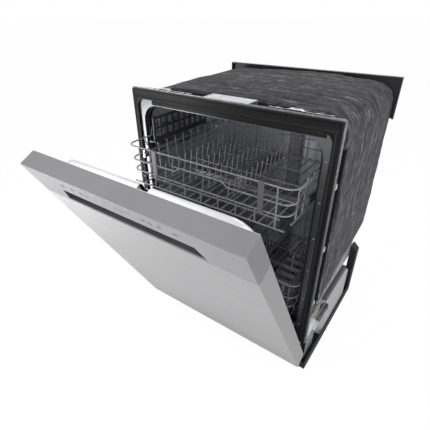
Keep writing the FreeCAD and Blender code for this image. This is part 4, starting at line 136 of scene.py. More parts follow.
def dress(made, *names):
    """Gives CAD nodes their finish."""
    for name in names:
        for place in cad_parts[name].material_slots:
            place.material = made


# matt black polypropylene: a dull, slightly dusty sheen
black_plastic = moulded("black_polypropylene", "#161619", "#222226", 0.55, Specular_IOR_Level=0.35)
dress(black_plastic, "base_frame")


# ---------------------------------------------------------------- levelling feet
# Four zinc-plated steel feet, pressed and turned, screwed up into the base pan's bosses.
def brushed(name, dark, light, roughness, lay, spread=0.08, depth=0.00002, metallic=1.0):
    """Brushed or rolled metal: lay is the spacing of its marks along X, Y and Z in metres."""
    made, tree, shader, where = material(name, light, roughness, Metallic=metallic)
    place = stretched(tree, where, [1 / size for size in lay])
    marks = mottle(tree, place, 1.0, 5.0, Roughness=0.65)
    dull = rise(tree, marks, 0.3, 0.7, roughness - spread, roughness + spread)
    tree.links.new(dull, shader.inputs["Roughness"])
    surface(tree, shader, shades(tree, marks, (0.32, dark), (0.68, light)), marks, 0.4, depth)
    return made


# electroplated zinc: an even pale grey shine with faint turning marks
zinc_plate = brushed("zinc_plated_steel", "#a9abaf", "#c6c8cb", 0.34, (0.004, 0.004, 0.001))
dress(zinc_plate, "levelling_feet")


# ---------------------------------------------------------------- tub
# Stainless steel sheet, 1.2 mm: sides and top are one bent sheet, the back and the floor are
# pressed. Its rolling marks run up the walls as long bright and dull streaks.
tub_wall_steel = brushed("rolled_stainless_tub", "#acadb0", "#dfe0e2", 0.40, (0.007, 0.006, 0.22),
                         spread=0.10, depth=0.00005, metallic=0.6)
dress(tub_wall_steel, "tub_wrapper", "tub_back_wall")
# the pressed floor is smoother and shines more than the walls
tub_floor_steel = brushed("pressed_stainless_floor", "#8f9094", "#cfd0d3", 0.27, (0.012, 0.12, 0.012))
dress(tub_floor_steel, "tub_floor")


# ---------------------------------------------------------------- sump and pumps
# The sump is a grey polypropylene basin clamped under the floor. Both pumps are closed black
# motor cans; the inlet valve is a white nylon body with a wound coil.
# the sump is dull grey, the pumps' cans nearly black and a little glossier
dress(moulded("grey_polypropylene_sump", "#4a4a4d", "#5b5b5e", 0.5), "sump")
dress(moulded("black_pump_housing", "#19191c", "#26262a", 0.42), "circulation_pump", "drain_pump")
# unpigmented nylon: cool white with a soft shine
white_nylon = moulded("white_nylon", "#d9d9dc", "#ececee", 0.38, cloud=0.03)
dress(white_nylon, "inlet_valve")


# ---------------------------------------------------------------- filter, lower arm and float
# The fine filter is etched stainless gauze in a grey frame, its twist-out cup a moulded basket.
# The spray arm is two grey polypropylene shells welded together; the float is a white dome.
# mid-grey polypropylene with a soft shine
grey_arm = moulded("grey_polypropylene_arm", "#66666a", "#78787c", 0.4, cloud=0.05)
dress(grey_arm, "lower_spray_arm", "middle_spray_arm", "top_spray_arm")
# etched gauze: bright steel with rows of dark holes
HOLE_SPACING = 0.0035
gauze, tree, shader, where = material("etched_filter_gauze", "#8b8c90", 0.38, Metallic=0.85)
holes = add(tree, "TexVoronoi", {"Vector": where, "Scale": 1 / HOLE_SPACING, "Randomness": 0.0})
surface(tree, shader, shades(tree, holes.outputs["Distance"], (0.28, "#2a2a2c"), (0.42, "#9a9b9f")))
dress(gauze, "filter_plate")
dress(moulded("grey_filter_cup", "#5d5d61", "#707074", 0.42, cloud=0.03), "filter_cup")
dress(white_nylon, "float_dome")


# ---------------------------------------------------------------- water duct
# Blow-moulded grey polypropylene duct up the back wall and along the ceiling. Its skin is
# smoother and lighter than the injected parts'.
duct_plastic = moulded("grey_blow_moulded_duct", "#77777b", "#8a8a8e", 0.36, cloud=0.06)
dress(duct_plastic, "water_duct", "middle_manifold")


# ---------------------------------------------------------------- front flange and frame
# A galvanised steel flange round the tub's mouth, its inner ring rolled bright and pierced. The
# black polypropylene frame snaps over it: two legs and a top bar with a sunk face and mitred corners.
def clear_selection():
    """Nothing is selected, and no piece is being edited."""
    if bpy.context.object and bpy.context.object.mode != "OBJECT":
        bpy.ops.object.mode_set(mode="OBJECT")
    bpy.ops.object.select_all(action="DESELECT")


def linked(name, data):
    """A new piece in the scene."""
    made = bpy.data.objects.new(name, data)
    bpy.context.scene.collection.objects.link(made)
    return made


def box(name, size, centre, turn=(0, 0, 0)):
    """A plain block, with its size, place and turn in its mesh."""
    clear_selection()
    bpy.ops.mesh.primitive_cube_add(size=1, scale=size, location=centre, rotation=turn)
    bpy.ops.object.transform_apply(location=True, rotation=True, scale=True)
    made = bpy.context.object
    made.name = name
    return made


def taken_from(node, name):
    """A merged copy of a CAD node's mesh, to be shaped further."""
    clear_selection()
    made = linked(name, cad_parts[node].data.copy())
    bpy.context.view_layer.objects.active = made
    made.select_set(True)
    bpy.ops.object.mode_set(mode="EDIT")
    bpy.ops.mesh.select_all(action="SELECT")
    bpy.ops.mesh.remove_doubles(threshold=0.00002)
    bpy.ops.object.mode_set(mode="OBJECT")
    return made


def modify(made, kind, **settings):
    """Adds a modifier to the active piece and applies it."""
    step = made.modifiers.new(kind.title(), kind)
    for name, value in settings.items():
        setattr(step, name, value)
    bpy.ops.object.modifier_apply(modifier=step.name)


def choose(made, wanted):
    """In edit mode, selects the faces whose middle and normal are wanted."""
    bpy.ops.mesh.select_mode(type="FACE")
    shape = bmesh.from_edit_mesh(made.data)
    for face in shape.faces:
        face.select_set(wanted(face.calc_center_median(), face.normal))
    bmesh.update_edit_mesh(made.data)


def fitted(made, body, slot, *finishes):
    """Gives a piece its finishes and its body; slot is not used."""
    made.data.materials.clear()
    for finish in finishes:
        made.data.materials.append(finish)
    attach(made, body)


TRIM_HALF = 0.300
TRIM_TOP = 0.840
TRIM_SIDE_BAND = 0.017
TRIM_TOP_BAND = 0.026
TRIM_FACE_Y = -0.265
TRIM_FOOT = 0.190
TRIM_INNER = TRIM_HALF - TRIM_SIDE_BAND
TRIM_UNDER = TRIM_TOP - TRIM_TOP_BAND
EDGE_RIB = 0.0042        # raised edge of the frame's face
RIB_SLOPE = 0.0016       # slope from it down to the sunk face
SUNK_BY = 0.0014
EDGE_ROUND = 0.0006
SHARP_ANGLE = 0.6        # radians; a flatter edge is shaded smooth
SPANGLE = 0.007
STRIKE_PLATE = (0.812, 0.838)


def spangled(tree, where, *stops):
    """Leaf pattern of hot-dip zinc, as a colour."""
    flakes = add(tree, "TexVoronoi", {"Vector": where, "Scale": 1 / SPANGLE})
    return shades(tree, flakes.outputs["Color"], *stops)


# hot-dip zinc: a dull bluish shine in leaf-like patches
galvanised, tree, shader, where = material("galvanised_sheet", "#a9abaf", 0.4, Metallic=1.0)
surface(tree, shader, spangled(tree, where, (0.1, "#9fa1a5"), (0.9, "#b6b8bc")))
dress(galvanised, "hinge_brackets")
# blackened zinc: dark grey, dull
blackened_zinc = brushed("blackened_zinc_plate", "#2a2a2d", "#3a3a3d", 0.5, (0.006, 0.006, 0.006))
dress(blackened_zinc, "worktop_brackets")

# bright zinc on the strike's plate; the hook below it, under the frame's top bar, is painted dark grey as
# shade
strike_zinc, tree, shader, where = material("bright_zinc_strike", "#d2d3d6", 0.4, Metallic=0.8)
height = add(tree, "SeparateXYZ", {"Vector": where}).outputs["Z"]
rolled = shades(tree, mottle(tree, where, 0.012, 4.0), (0.35, "#c9cacd"), (0.65, "#e2e3e5"))
# painted shade: dark grey below the plate's height
surface(tree, shader, either(tree, rise(tree, height, *STRIKE_PLATE), linear("#4a4b4e"), rolled))
dress(strike_zinc, "strike_bracket")


def out_from_middle(tree, where):
    """Distance from the object's middle plane, and height."""
    place = add(tree, "SeparateXYZ", {"Vector": where})
    return reckon(tree, "ABSOLUTE", place.outputs["X"]), place.outputs["Z"]


# galvanised sheet whose ring was rolled bright: bluish spangle outside, a smoother, shinier band inside
# whose darker grey is painted shade
flange_steel, tree, shader, where = material("galvanised_flange_with_bright_ring", "#a9abaf", 0.4,
                                             Metallic=1.0)
across, height = out_from_middle(tree, where)
ring = reckon(tree, "MULTIPLY", rise(tree, across, TRIM_INNER + 0.0005, TRIM_INNER - 0.0005),
              rise(tree, height, TRIM_UNDER + 0.0005, TRIM_UNDER - 0.0005))
outer = spangled(tree, where, (0.1, "#94969a"), (0.9, "#b0b2b6"))
# painted shade: the ring inside the frame is a darker grey than the spangle
surface(tree, shader, either(tree, ring, outer, linear("#77787b")))
tree.links.new(rise(tree, ring, 0.0, 1.0, 0.42, 0.3), shader.inputs["Roughness"])
dress(flange_steel, "front_flange")


def on_front(middle, normal):
    """Whether a face lies in the frame's front."""
    return normal.y < -0.99 and middle.y < TRIM_FACE_Y + 0.0002


def in_sunk_face(middle, normal):
    """Whether a face of the frame's front lies within its raised ribs."""
    rib = EDGE_RIB + RIB_SLOPE
    leg = TRIM_INNER + rib < abs(middle.x) < TRIM_HALF - rib
    bar = middle.z > TRIM_UNDER + rib and abs(middle.x) < TRIM_HALF - rib
    return on_front(middle, normal) and (leg or bar) and TRIM_FOOT + rib < middle.z < TRIM_TOP - rib


black_frame = taken_from("front_trim", "black_front_frame")
bpy.ops.object.mode_set(mode="EDIT")
bpy.ops.mesh.dissolve_limited(angle_limit=0.02)
for inset in (EDGE_RIB, EDGE_RIB + RIB_SLOPE):
    upright_cuts = (TRIM_HALF - inset, inset - TRIM_HALF, TRIM_INNER + inset, -TRIM_INNER - inset)
    level_cuts = (TRIM_TOP - inset, TRIM_UNDER + inset, TRIM_FOOT + inset)
    for place, way in ([((x, 0, 0), (1, 0, 0)) for x in upright_cuts]
                       + [((0, 0, z), (0, 0, 1)) for z in level_cuts]):
        choose(black_frame, on_front)
        bpy.ops.mesh.bisect(plane_co=place, plane_no=way)
choose(black_frame, in_sunk_face)
bpy.ops.transform.translate(value=(0, SUNK_BY, 0))
bpy.ops.object.mode_set(mode="OBJECT")
modify(black_frame, "BEVEL", width=EDGE_ROUND, segments=2, limit_method="ANGLE", angle_limit=SHARP_ANGLE)
lip = box("frame_lip", (0.500, 0.0016, 0.0140), (0.018, -0.2598, 0.8076))
modify(lip, "BEVEL", width=EDGE_ROUND, segments=2)
lip.select_set(True)
black_frame.select_set(True)
bpy.context.view_layer.objects.active = black_frame
bpy.ops.object.join()
bpy.ops.object.shade_smooth_by_angle(angle=SHARP_ANGLE)

# black moulded polypropylene: satin, nearly smooth, with the dark joint line of its two mitres
frame_plastic, tree, shader, where = material("black_moulded_frame", "#131315", 0.5,
                                              Specular_IOR_Level=0.22)
across, height = out_from_middle(tree, where)
slanted = reckon(tree, "MULTIPLY", reckon(tree, "SUBTRACT", TRIM_HALF, across),
                 TRIM_TOP_BAND / TRIM_SIDE_BAND)
apart = reckon(tree, "SUBTRACT", slanted, reckon(tree, "SUBTRACT", TRIM_TOP, height))
joint = rise(tree, reckon(tree, "ABSOLUTE", apart), 0.0006, 0.0013)
black = shades(tree, mottle(tree, where, 0.09, 3.0), (0.3, "#111113"), (0.7, "#171719"))
skin = mottle(tree, where, 0.0012, 2.0)
surface(tree, shader, either(tree, joint, linear("#050506"), black), skin, 0.25, 0.00005)
fitted(black_frame, "cabinet", "black_plastic", frame_plastic)
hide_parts("front_trim")


# ---------------------------------------------------------------- gasket
# Black EPDM bulb pushed into the tub's lip; it has the dull skin of extruded rubber.
epdm = moulded("epdm_rubber", "#121214", "#1c1c1e", 0.6, grain=0.002, Specular_IOR_Level=0.3)
dress(epdm, "door_gasket")


# ---------------------------------------------------------------- flange clips
# White nylon clips that tie the blanket and the wiring to the flange.
dress(white_nylon, "flange_clips")


# ---------------------------------------------------------------- rear bracket
# Folded steel channel over the tub's back, painted satin black; its up-facing top edge carries a painted
# highlight, pale and broken by darker flecks.
BRACKET_EDGE = (0.846, 0.8475)
chipped_paint, tree, shader, where = material("satin_black_paint", "#1d1d20", 0.4)
facing = add(tree, "SeparateXYZ", {"Vector": add(tree, "NewGeometry").outputs["Normal"]}).outputs["Z"]
height = add(tree, "SeparateXYZ", {"Vector": where}).outputs["Z"]
# painted highlight: up-facing faces along the top edge are painted pale, broken by darker flecks
lit_top_edge = reckon(tree, "MULTIPLY", rise(tree, facing, 0.5, 0.9), rise(tree, height, *BRACKET_EDGE))
flakes = stretched(tree, where, (1 / 0.022, 1 / 0.006, 1 / 0.006))
chips = mottle(tree, flakes, 1.0, 5.0, Roughness=0.8)
top_highlight_and_chips = shades(tree, chips, (0.42, "#6c6c70"), (0.52, "#bdbdc0"), (0.6, "#55555a"))
surface(tree, shader, either(tree, lit_top_edge, linear("#1d1d20"), top_highlight_and_chips), chips, 0.3, 0.0002)
dress(chipped_paint, "rear_bracket")


# ---------------------------------------------------------------- hinges
# Pressed steel arms and pins, two drawn-wire springs, and white nylon sliders. A ribbed white
# nylon guide on each bracket keeps the door's cord and the wires apart.
dress(galvanised, "hinge_arms")
dress(white_nylon, "spring_sliders")
# hard-drawn wire: dark grey with a tight shine across the turns
spring_wire = brushed("drawn_spring_wire", "#55565a", "#7c7d81", 0.3, (0.004, 0.0008, 0.004))
dress(spring_wire, "door_springs")

GUIDE_X = (0.2880, 0.2975)
GUIDE_Y = (-0.250, -0.172)
GUIDE_Z = (0.177, 0.229)      # clear of the door's foot, which swings in below it
GUIDE_TOP_SLANT = 0.022
GUIDE_FOOT_SLANT = 0.016
GUIDE_RIBS = (-0.230, -0.210, -0.190)
GUIDE_RIB_HALF = 0.002
GUIDE_EXTENT = (GUIDE_X, GUIDE_Y, GUIDE_Z)
guide = box("right_hinge_guide", [end - start for start, end in GUIDE_EXTENT],
            [(start + end) / 2 for start, end in GUIDE_EXTENT])
bpy.ops.object.mode_set(mode="EDIT")
for corner, way in (((0, GUIDE_Y[1] - GUIDE_TOP_SLANT, GUIDE_Z[1]), (0, 1, 1)),
                    ((0, GUIDE_Y[0] + GUIDE_FOOT_SLANT, GUIDE_Z[0]), (0, -1, -1))):
    bpy.ops.mesh.select_all(action="SELECT")
    bpy.ops.mesh.bisect(plane_co=corner, plane_no=way, clear_outer=True, use_fill=True)


def faces_right(middle, normal):
    """Whether a face looks to the right."""
    return normal.x > 0.9


def between_ribs(middle, normal):
    """Whether a face of the guide's right side lies between its ribs."""
    return normal.x > 0.9 and min(abs(middle.y - rib) for rib in GUIDE_RIBS) > 0.003


for place in [rib + side * GUIDE_RIB_HALF for rib in GUIDE_RIBS for side in (-1, 1)]:
    choose(guide, faces_right)
    bpy.ops.mesh.bisect(plane_co=(0, place, 0), plane_no=(0, 1, 0))
choose(guide, between_ribs)
bpy.ops.mesh.inset(thickness=0.0022, depth=0.0)
bpy.ops.mesh.inset(thickness=0.0005, depth=-0.0050)
bpy.ops.object.mode_set(mode="OBJECT")
modify(guide, "BEVEL", width=0.0007, segments=2, limit_method="ANGLE", angle_limit=SHARP_ANGLE)
bpy.ops.object.shade_smooth_by_angle(angle=SHARP_ANGLE)
fitted(guide, "cabinet", "white_plastic", white_nylon)
other_guide = linked("left_hinge_guide", guide.data.copy())
other_guide.data.transform(Matrix.Rotation(math.pi, 4, "Z"))
other_guide.data.transform(Matrix.Translation((0, GUIDE_Y[0] + GUIDE_Y[1], 0)))
fitted(other_guide, "cabinet", "white_plastic", white_nylon)


# ---------------------------------------------------------------- control box and junction box
# The control board's box is light grey ABS, dark grey along its top; the junction box is
# zinc-plated steel with a knocked-out cable entry.
DARK_BAND_FROM = (0.1675, 0.1685)
# light grey, dark grey above a line near the top
box_plastic, tree, shader, where = material("light_grey_abs_box", "#d2d2d6", 0.4)
height = add(tree, "SeparateXYZ", {"Vector": where}).outputs["Z"]
dark_top_band = rise(tree, height, *DARK_BAND_FROM)
surface(tree, shader, shades(tree, dark_top_band, (0.0, "#cfcfd2"), (1.0, "#57575b")))
dress(box_plastic, "control_box")
dress(zinc_plate, "junction_box")


# ---------------------------------------------------------------- insulation blanket
# Needled grey felt wrapped over the tub, dark fibres mixed with light ones and combed along
# the wrap. It is soft, so it swells between its fixings and its faces are uneven.
def swelling(name, size, depth):
    """Soft uneven pattern for a Displace modifier, its lumps of a size in metres."""
    pattern = bpy.data.textures.new(name, "CLOUDS")
    pattern.noise_scale = size
    pattern.noise_depth = depth
    return pattern


TUB_SIDE = 0.2752
TUB_CEILING = 0.8052
TUB_BEND = 0.05
HELD_DEPTH = 0.004       # felt nearer to the tub than this doesn't move
FREE_DEPTH = 0.008       # and beyond this much more, it moves freely
felt = taken_from("insulation_blanket", "felt_blanket")
modify(felt, "REMESH", mode="VOXEL", voxel_size=0.0058, adaptivity=0.0)
outside = felt.vertex_groups.new(name="outside")
for point in felt.data.vertices:
    x, y, z = point.co
    past_side, past_top = abs(x) - TUB_SIDE, z - TUB_CEILING
    out = max(past_side, past_top)
    corner = math.hypot(max(past_side + TUB_BEND, 0), max(past_top + TUB_BEND, 0)) - TUB_BEND
    at_bend = abs(x) > TUB_SIDE - TUB_BEND and z > TUB_CEILING - TUB_BEND
    depth = min(out, corner) if at_bend else out
    outside.add([point.index], min(max((depth - HELD_DEPTH) / FREE_DEPTH, 0.0), 1.0), "REPLACE")
modify(felt, "SMOOTH", factor=0.6, iterations=3)
modify(felt, "DISPLACE", texture=swelling("broad_swell", 0.16, 1), strength=0.010, mid_level=0.5,
       vertex_group="outside")
modify(felt, "DISPLACE", texture=swelling("small_lumps", 0.022, 2), strength=0.0028, mid_level=0.5,
       vertex_group="outside")
bpy.ops.object.shade_smooth()

# needled fibres: no shine, dark and pale streaks across the wrap, a faint fuzz at the edges
felt_cloth, tree, shader, where = material("needled_grey_felt", "#4c4c50", 0.95, Sheen_Weight=0.12,
                                           Sheen_Roughness=0.6, Specular_IOR_Level=0.1)
combed = stretched(tree, where, (6.5, 120.0, 6.5))
streaks = mottle(tree, combed, 1.0, 6.0, Roughness=0.75, Distortion=0.25)
tufts = mottle(tree, where, 0.03, 4.0, Roughness=0.7)
fibres = reckon(tree, "ADD", streaks, reckon(tree, "MULTIPLY", tufts, 0.5))
greys = shades(tree, reckon(tree, "MULTIPLY", fibres, 0.667), (0.38, "#1b1b1d"), (0.47, "#38383c"),
               (0.55, "#5e5e62"), (0.64, "#aeaeb2"))
surface(tree, shader, greys, fibres, 0.9, 0.0016)
fitted(felt, "cabinet", "felt", felt_cloth)
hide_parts("insulation_blanket")


# ---------------------------------------------------------------- blanket binding
# Black non-woven tape folded over the blanket's front edge and stitched through. It is dull
# and slightly puckered.
binding = taken_from("blanket_binding", "blanket_binding_tape")
modify(binding, "REMESH", mode="VOXEL", voxel_size=0.004, adaptivity=0.0)
modify(binding, "SMOOTH", factor=0.5, iterations=4)
modify(binding, "DISPLACE", texture=swelling("tape_puckers", 0.018, 1), strength=0.0016, mid_level=0.6)
bpy.ops.object.shade_smooth()
nonwoven = moulded("black_nonwoven_tape", "#0c0c0e", "#1a1a1c", 0.95, grain=0.003, cloud=0.02,
                   depth=0.0004, Specular_IOR_Level=0.1)
fitted(binding, "cabinet", "felt", nonwoven)
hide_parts("blanket_binding")


# ---------------------------------------------------------------- blanket hems and foil tape
# A pale woven tape is sewn along the blanket's slanted lower edges. Torn strips of aluminium
# tape, crumpled by hand, tie the binding to the flange's top edge on both sides of the strike.
HEM_X = 0.2945
HEM_START = (-0.165, 0.2725)
HEM_END = (0.238, 0.3505)
HEM_THICKNESS = 0.0022
HEM_WIDTH = 0.0045
hem_run, hem_climb = HEM_END[0] - HEM_START[0], HEM_END[1] - HEM_START[1]
# woven tape: pale and dull, with the fine unevenness of its threads
hem_tape, tree, shader, where = material("pale_woven_tape", "#a8a8ac", 0.85, Sheen_Weight=0.2)
threads = mottle(tree, where, 0.0016, 3.0)
surface(tree, shader, shades(tree, threads, (0.35, "#7e7e82"), (0.65, "#bcbcc0")), threads, 0.6, 0.0003)
for name, x in (("left_hem", -HEM_X), ("right_hem", HEM_X)):
    hem = box(name, (HEM_THICKNESS, math.hypot(hem_run, hem_climb), HEM_WIDTH),
              (x, (HEM_START[0] + HEM_END[0]) / 2, (HEM_START[1] + HEM_END[1]) / 2),
              turn=(math.atan2(hem_climb, hem_run), 0, 0))
    modify(hem, "BEVEL", width=0.0008, segments=2)
    bpy.ops.object.mode_set(mode="EDIT")
    bpy.ops.mesh.select_all(action="SELECT")
    bpy.ops.mesh.bisect(plane_co=(0, 0.0, 0.3), plane_no=(0, 1, 0))
    bpy.ops.mesh.select_all(action="SELECT")
    bpy.ops.mesh.subdivide(number_cuts=5)
    bpy.ops.object.mode_set(mode="OBJECT")
    modify(hem, "DISPLACE", texture=swelling(name + "_waves", 0.03, 1), strength=0.0012, mid_level=0.5)
    bpy.ops.object.shade_smooth()
    fitted(hem, "cabinet", "felt", hem_tape)

FLANGE_EDGE = 0.8445
FOIL_REAR = 0.8425       # height of the strips' rear edge
FOIL_FRONT_Y = -0.2588
FOIL_WIDTH = 0.0140
FOIL_THICKNESS = 0.00035
TAB_MIDDLE = 0.190
TAB_HALF = 0.013


def uneven(x, y, z, most):
    """An amount of at most so many metres that wanders with x, y and z."""
    return noise.noise(Vector((x, y, z))) * most


# aluminium tape: bright, pressed flat in small facets between sharp creases
foil, tree, shader, where = material("crumpled_aluminium_tape", "#dddde0", 0.42, Metallic=0.75)
creases = add(tree, "TexVoronoi", {"Vector": where, "Scale": 1 / 0.006})
facets = shades(tree, creases.outputs["Color"], (0.1, "#c3c3c7"), (0.9, "#efeff1"))
surface(tree, shader, facets, creases.outputs["Distance"], 0.7, 0.0008)
for name, start, end in (("left_foil_tape", -0.252, -0.098), ("right_foil_tape", 0.128, 0.272)):
    clear_selection()
    bpy.ops.mesh.primitive_grid_add(x_subdivisions=56, y_subdivisions=9, size=1)
    tape = bpy.context.object
    tape.name = name
    for point in tape.data.vertices:
        along, back = point.co.x + 0.5, point.co.y + 0.5
        x = start + along * (end - start)
        crumple = uneven(x * 95, back * 2.6, 3.0, 0.0020) + uneven(x * 260, back * 5, 9.0, 0.0011)
        torn = uneven(x * 60, 1.0, 5.0, 0.006) + uneven(x * 310, 4.0, 5.0, 0.002)
        over_tab = max(0.0, 1 - max(0.0, abs(abs(x) - TAB_MIDDLE) - TAB_HALF) / 0.006)
        front = FLANGE_EDGE + 0.0022 + over_tab * 0.0006
        rear = FOIL_REAR + over_tab * 0.0048
        lifted = abs(crumple) * 1.1 * (1 - 0.5 * over_tab)
        point.co = (x + uneven(back * 7, x * 40, 2.0, 0.003),
                    FOIL_FRONT_Y + back * (FOIL_WIDTH + torn),
                    front + (rear - front) * back + lifted)
    modify(tape, "SOLIDIFY", thickness=FOIL_THICKNESS, offset=0.0)
    fitted(tape, "cabinet", "galvanised", foil)


# ---------------------------------------------------------------- wiring harness
# Three PVC-insulated wires leave the control box, loop up and go into a white nylon plug at the
# right-hand hinge: earth, green with a yellow stripe, outermost, then black and brown. They bend
# easily but keep their loop, and are held at both ends.
WIRE_THICKNESS = 0.0026
BOX_EXIT = (-0.0400, 0.150)
route = (BOX_EXIT, (-0.0615, 0.150), (-0.0847, 0.142), (-0.0968, 0.164), (-0.0968, 0.190),
         (-0.1036, 0.206), (-0.1260, 0.206))
plug = box("harness_plug", (0.0092, 0.026, 0.022), (0.2804, -0.139, 0.206))
bpy.ops.object.mode_set(mode="EDIT")
choose(plug, faces_right)
bpy.ops.mesh.inset(thickness=0.003, depth=0.0)
bpy.ops.mesh.inset(thickness=0.0004, depth=-0.0008)
bpy.ops.object.mode_set(mode="OBJECT")
modify(plug, "BEVEL", width=0.0007, segments=2, limit_method="ANGLE", angle_limit=SHARP_ANGLE)
bpy.ops.object.shade_smooth_by_angle(angle=SHARP_ANGLE)
fitted(plug, "cabinet", "white_plastic", white_nylon)


def round_line(name, points, thickness, facets, steps):
    """A round wire through a smooth line past the points."""
    line = bpy.data.curves.new(name, "CURVE")
    line.dimensions = "3D"
    line.bevel_depth = thickness / 2
    line.bevel_resolution = facets
    line.resolution_u = steps
    line.use_fill_caps = True
    run = line.splines.new("NURBS")
    run.points.add(len(points) - 1)
    for point, place in zip(run.points, points):
        point.co = (*place, 1.0)
    run.order_u = 3
    run.use_endpoint_u = True
    return linked(name, line)


def wire_colour(name, code, stripe, edge):
    """Glossy PVC insulation; a stripe runs along the wire's side beyond edge, an X in metres."""
    made, tree, shader, where = material(name, code, 0.5, Specular_IOR_Level=0.2)
    side = add(tree, "SeparateXYZ", {"Vector": where}).outputs["X"]
    tint = shades(tree, rise(tree, side, edge, edge + 0.0001), (0.0, code), (1.0, stripe))
    shade = rise(tree, mottle(tree, where, 0.01, 2.0), 0.0, 1.0, 0.85, 1.1)
    aged = add(tree, "HueSaturation", {"Color": tint, "Value": shade})
    surface(tree, shader, aged.outputs["Color"])
    return made


for name, x, code, stripe in (("brown", 0.2773, "#5a2b22", "#5a2b22"),
                              ("black", 0.2804, "#18181a", "#18181a"),
                              ("earth", 0.2835, "#1f7a4a", "#d2c81e")):
    wire = round_line(name + "_wire", [(x, y, z) for y, z in route], WIRE_THICKNESS, 3, 10)
    insulation = wire_colour(name + "_pvc_insulation", code, stripe, x - 0.0001)
    fitted(wire, "cabinet", "wire_insulation", insulation)
    if name == "black":
        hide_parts("wiring_harness")


# ---------------------------------------------------------------- rack runners and rails
# Roll-formed stainless channels: the rails are riveted to the tub, the runners slide in them.
# The steel is polished, with fine marks along the slide.
runner_steel = brushed("polished_runner_steel", "#9a9b9f", "#c9cacd", 0.22, (0.002, 0.05, 0.002))
dress(runner_steel, "rack_runners", "fixed_rails")


# ---------------------------------------------------------------- rack wires
# Welded steel wire dipped in grey nylon: the coat is smooth, thick at the welds and slightly
# glossy.
rack_nylon = moulded("grey_nylon_coating", "#85858a", "#a3a3a7", 0.33, grain=0.002, cloud=0.02,
                     Coat_Weight=0.2, Coat_Roughness=0.25)
for rack in ("upper_rack_", "lower_rack_"):
    dress(rack_nylon, rack + "ends", rack + "sides", rack + "floor", rack + "tines")
dress(rack_nylon, "shelf_rod")


# ---------------------------------------------------------------- upper rack side walls
# The side walls' uprights are hooked over the rim: each head stands a little above it, bends
# inwards below it and runs straight down to the floor. A coated stop wire, jogged once, stands
# on the left wall's rim; its coat is painted dark grey as shade.
RACK_WIRE = 0.004
STOP_WIRE = 0.0034
SIDE_FRONT = -0.314
SIDE_BACK = 0.050
RIM = (0.253, 0.709)
FIRST_UPRIGHT_Y = -0.2845
UPRIGHT_STEP = 0.0383
UPRIGHTS = 9
UPRIGHT_PROFILE = ((0.2502, 0.7165), (0.2502, 0.7040), (0.2440, 0.6930), (0.2350, 0.6840),
                   (0.2345, 0.6600), (0.2332, 0.6025))
RAILS = ((0.670, 0.2467, 0.2378), (0.640, 0.2418, 0.2370), (0.604, 0.2360, 0.2360))
STOP_PROFILE = ((-0.2490, -0.2560, 0.7105), (-0.2495, -0.2555, 0.7290), (-0.2500, -0.2500, 0.7362),
                (-0.2500, -0.1900, 0.7345), (-0.2500, -0.1780, 0.7275), (-0.2500, -0.1580, 0.7290),
                (-0.2500, -0.1400, 0.7378), (-0.2500, -0.0300, 0.7360), (-0.2500, -0.0050, 0.7355),
                (-0.2495, 0.0005, 0.7290), (-0.2490, 0.0010, 0.7105))


def drawn_wire(name, points, thickness=RACK_WIRE):
    """A bent wire through a smooth line past the points, as a mesh."""
    clear_selection()
    made = round_line(name, points, thickness, 2, 5)
    bpy.context.view_layer.objects.active = made
    made.select_set(True)
    bpy.ops.object.convert(target="MESH")
    return bpy.context.object


def copied(made, shift):
    """A copy with its own mesh, moved by shift."""
    copy = linked(made.name, made.data.copy())
    copy.data.transform(Matrix.Translation(shift))
    return copy


def joined(pieces, name):
    """One piece from several."""
    clear_selection()
    for piece in pieces:
        piece.select_set(True)
    bpy.context.view_layer.objects.active = pieces[0]
    bpy.ops.object.join()
    made = bpy.context.object
    made.name = name
    bpy.ops.object.mode_set(mode="EDIT")
    bpy.ops.mesh.select_all(action="SELECT")
    bpy.ops.mesh.normals_make_consistent(inside=False)
    bpy.ops.object.mode_set(mode="OBJECT")
    bpy.ops.object.shade_smooth()
    return made


wires = []
for side in (-1, 1):
    upright = drawn_wire("upright", [(side * x, FIRST_UPRIGHT_Y, z) for x, z in UPRIGHT_PROFILE])
    wires += [upright] + [copied(upright, (0, place * UPRIGHT_STEP, 0)) for place in range(1, UPRIGHTS)]
    wires.append(drawn_wire("rim", [(side * RIM[0], y, RIM[1]) for y in (SIDE_FRONT, SIDE_BACK)]))
    for level, end, middle in RAILS:
        wires.append(drawn_wire("rail", [(side * x, y, level) for x, y in (
            (end, SIDE_FRONT), (end, SIDE_FRONT + 0.010), (middle, SIDE_FRONT + 0.022),
            (middle, SIDE_BACK - 0.022), (end, SIDE_BACK - 0.010), (end, SIDE_BACK))]))
side_walls = joined(wires, "upper_rack_side_walls")
fitted(side_walls, "upper_rack", "rack_wire", rack_nylon)
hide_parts("upper_rack_sides")

# the same nylon, painted dark grey as shade
shaded_nylon_coating = moulded("nylon_coating_painted_as_shade", "#3c3c40", "#505054", 0.36, grain=0.002, cloud=0.02)
stop_wire = drawn_wire("dish_stop_wire", STOP_PROFILE, STOP_WIRE)
bpy.ops.object.shade_smooth()
fitted(stop_wire, "upper_rack", "rack_wire", shaded_nylon_coating)


# ---------------------------------------------------------------- upper rack fittings and shelf
# Grey polypropylene bars, runner shoes, and a window-grid cup shelf folded up at the left. All
# have the soft shine of injected plastic, the shelf nearly black.
dress(moulded("grey_rack_fitting", "#6c6c70", "#7c7c80", 0.42), "upper_rack_fittings")
dress(moulded("dark_grey_shelf", "#2c2c2f", "#3c3c40", 0.42), "cup_shelf")


# ---------------------------------------------------------------- lower rack wheels and basket
# Acetal wheels on grey stubs, and a moulded window-grid cutlery basket. The wheels are darker
# and a little glossier than the basket.
dress(moulded("grey_acetal_wheel", "#5a5a5e", "#6b6b6f", 0.35), "front_wheels", "rear_wheels",
      "wheel_carriers")
dress(moulded("grey_basket_plastic", "#707074", "#838387", 0.42, cloud=0.05), "cutlery_basket")


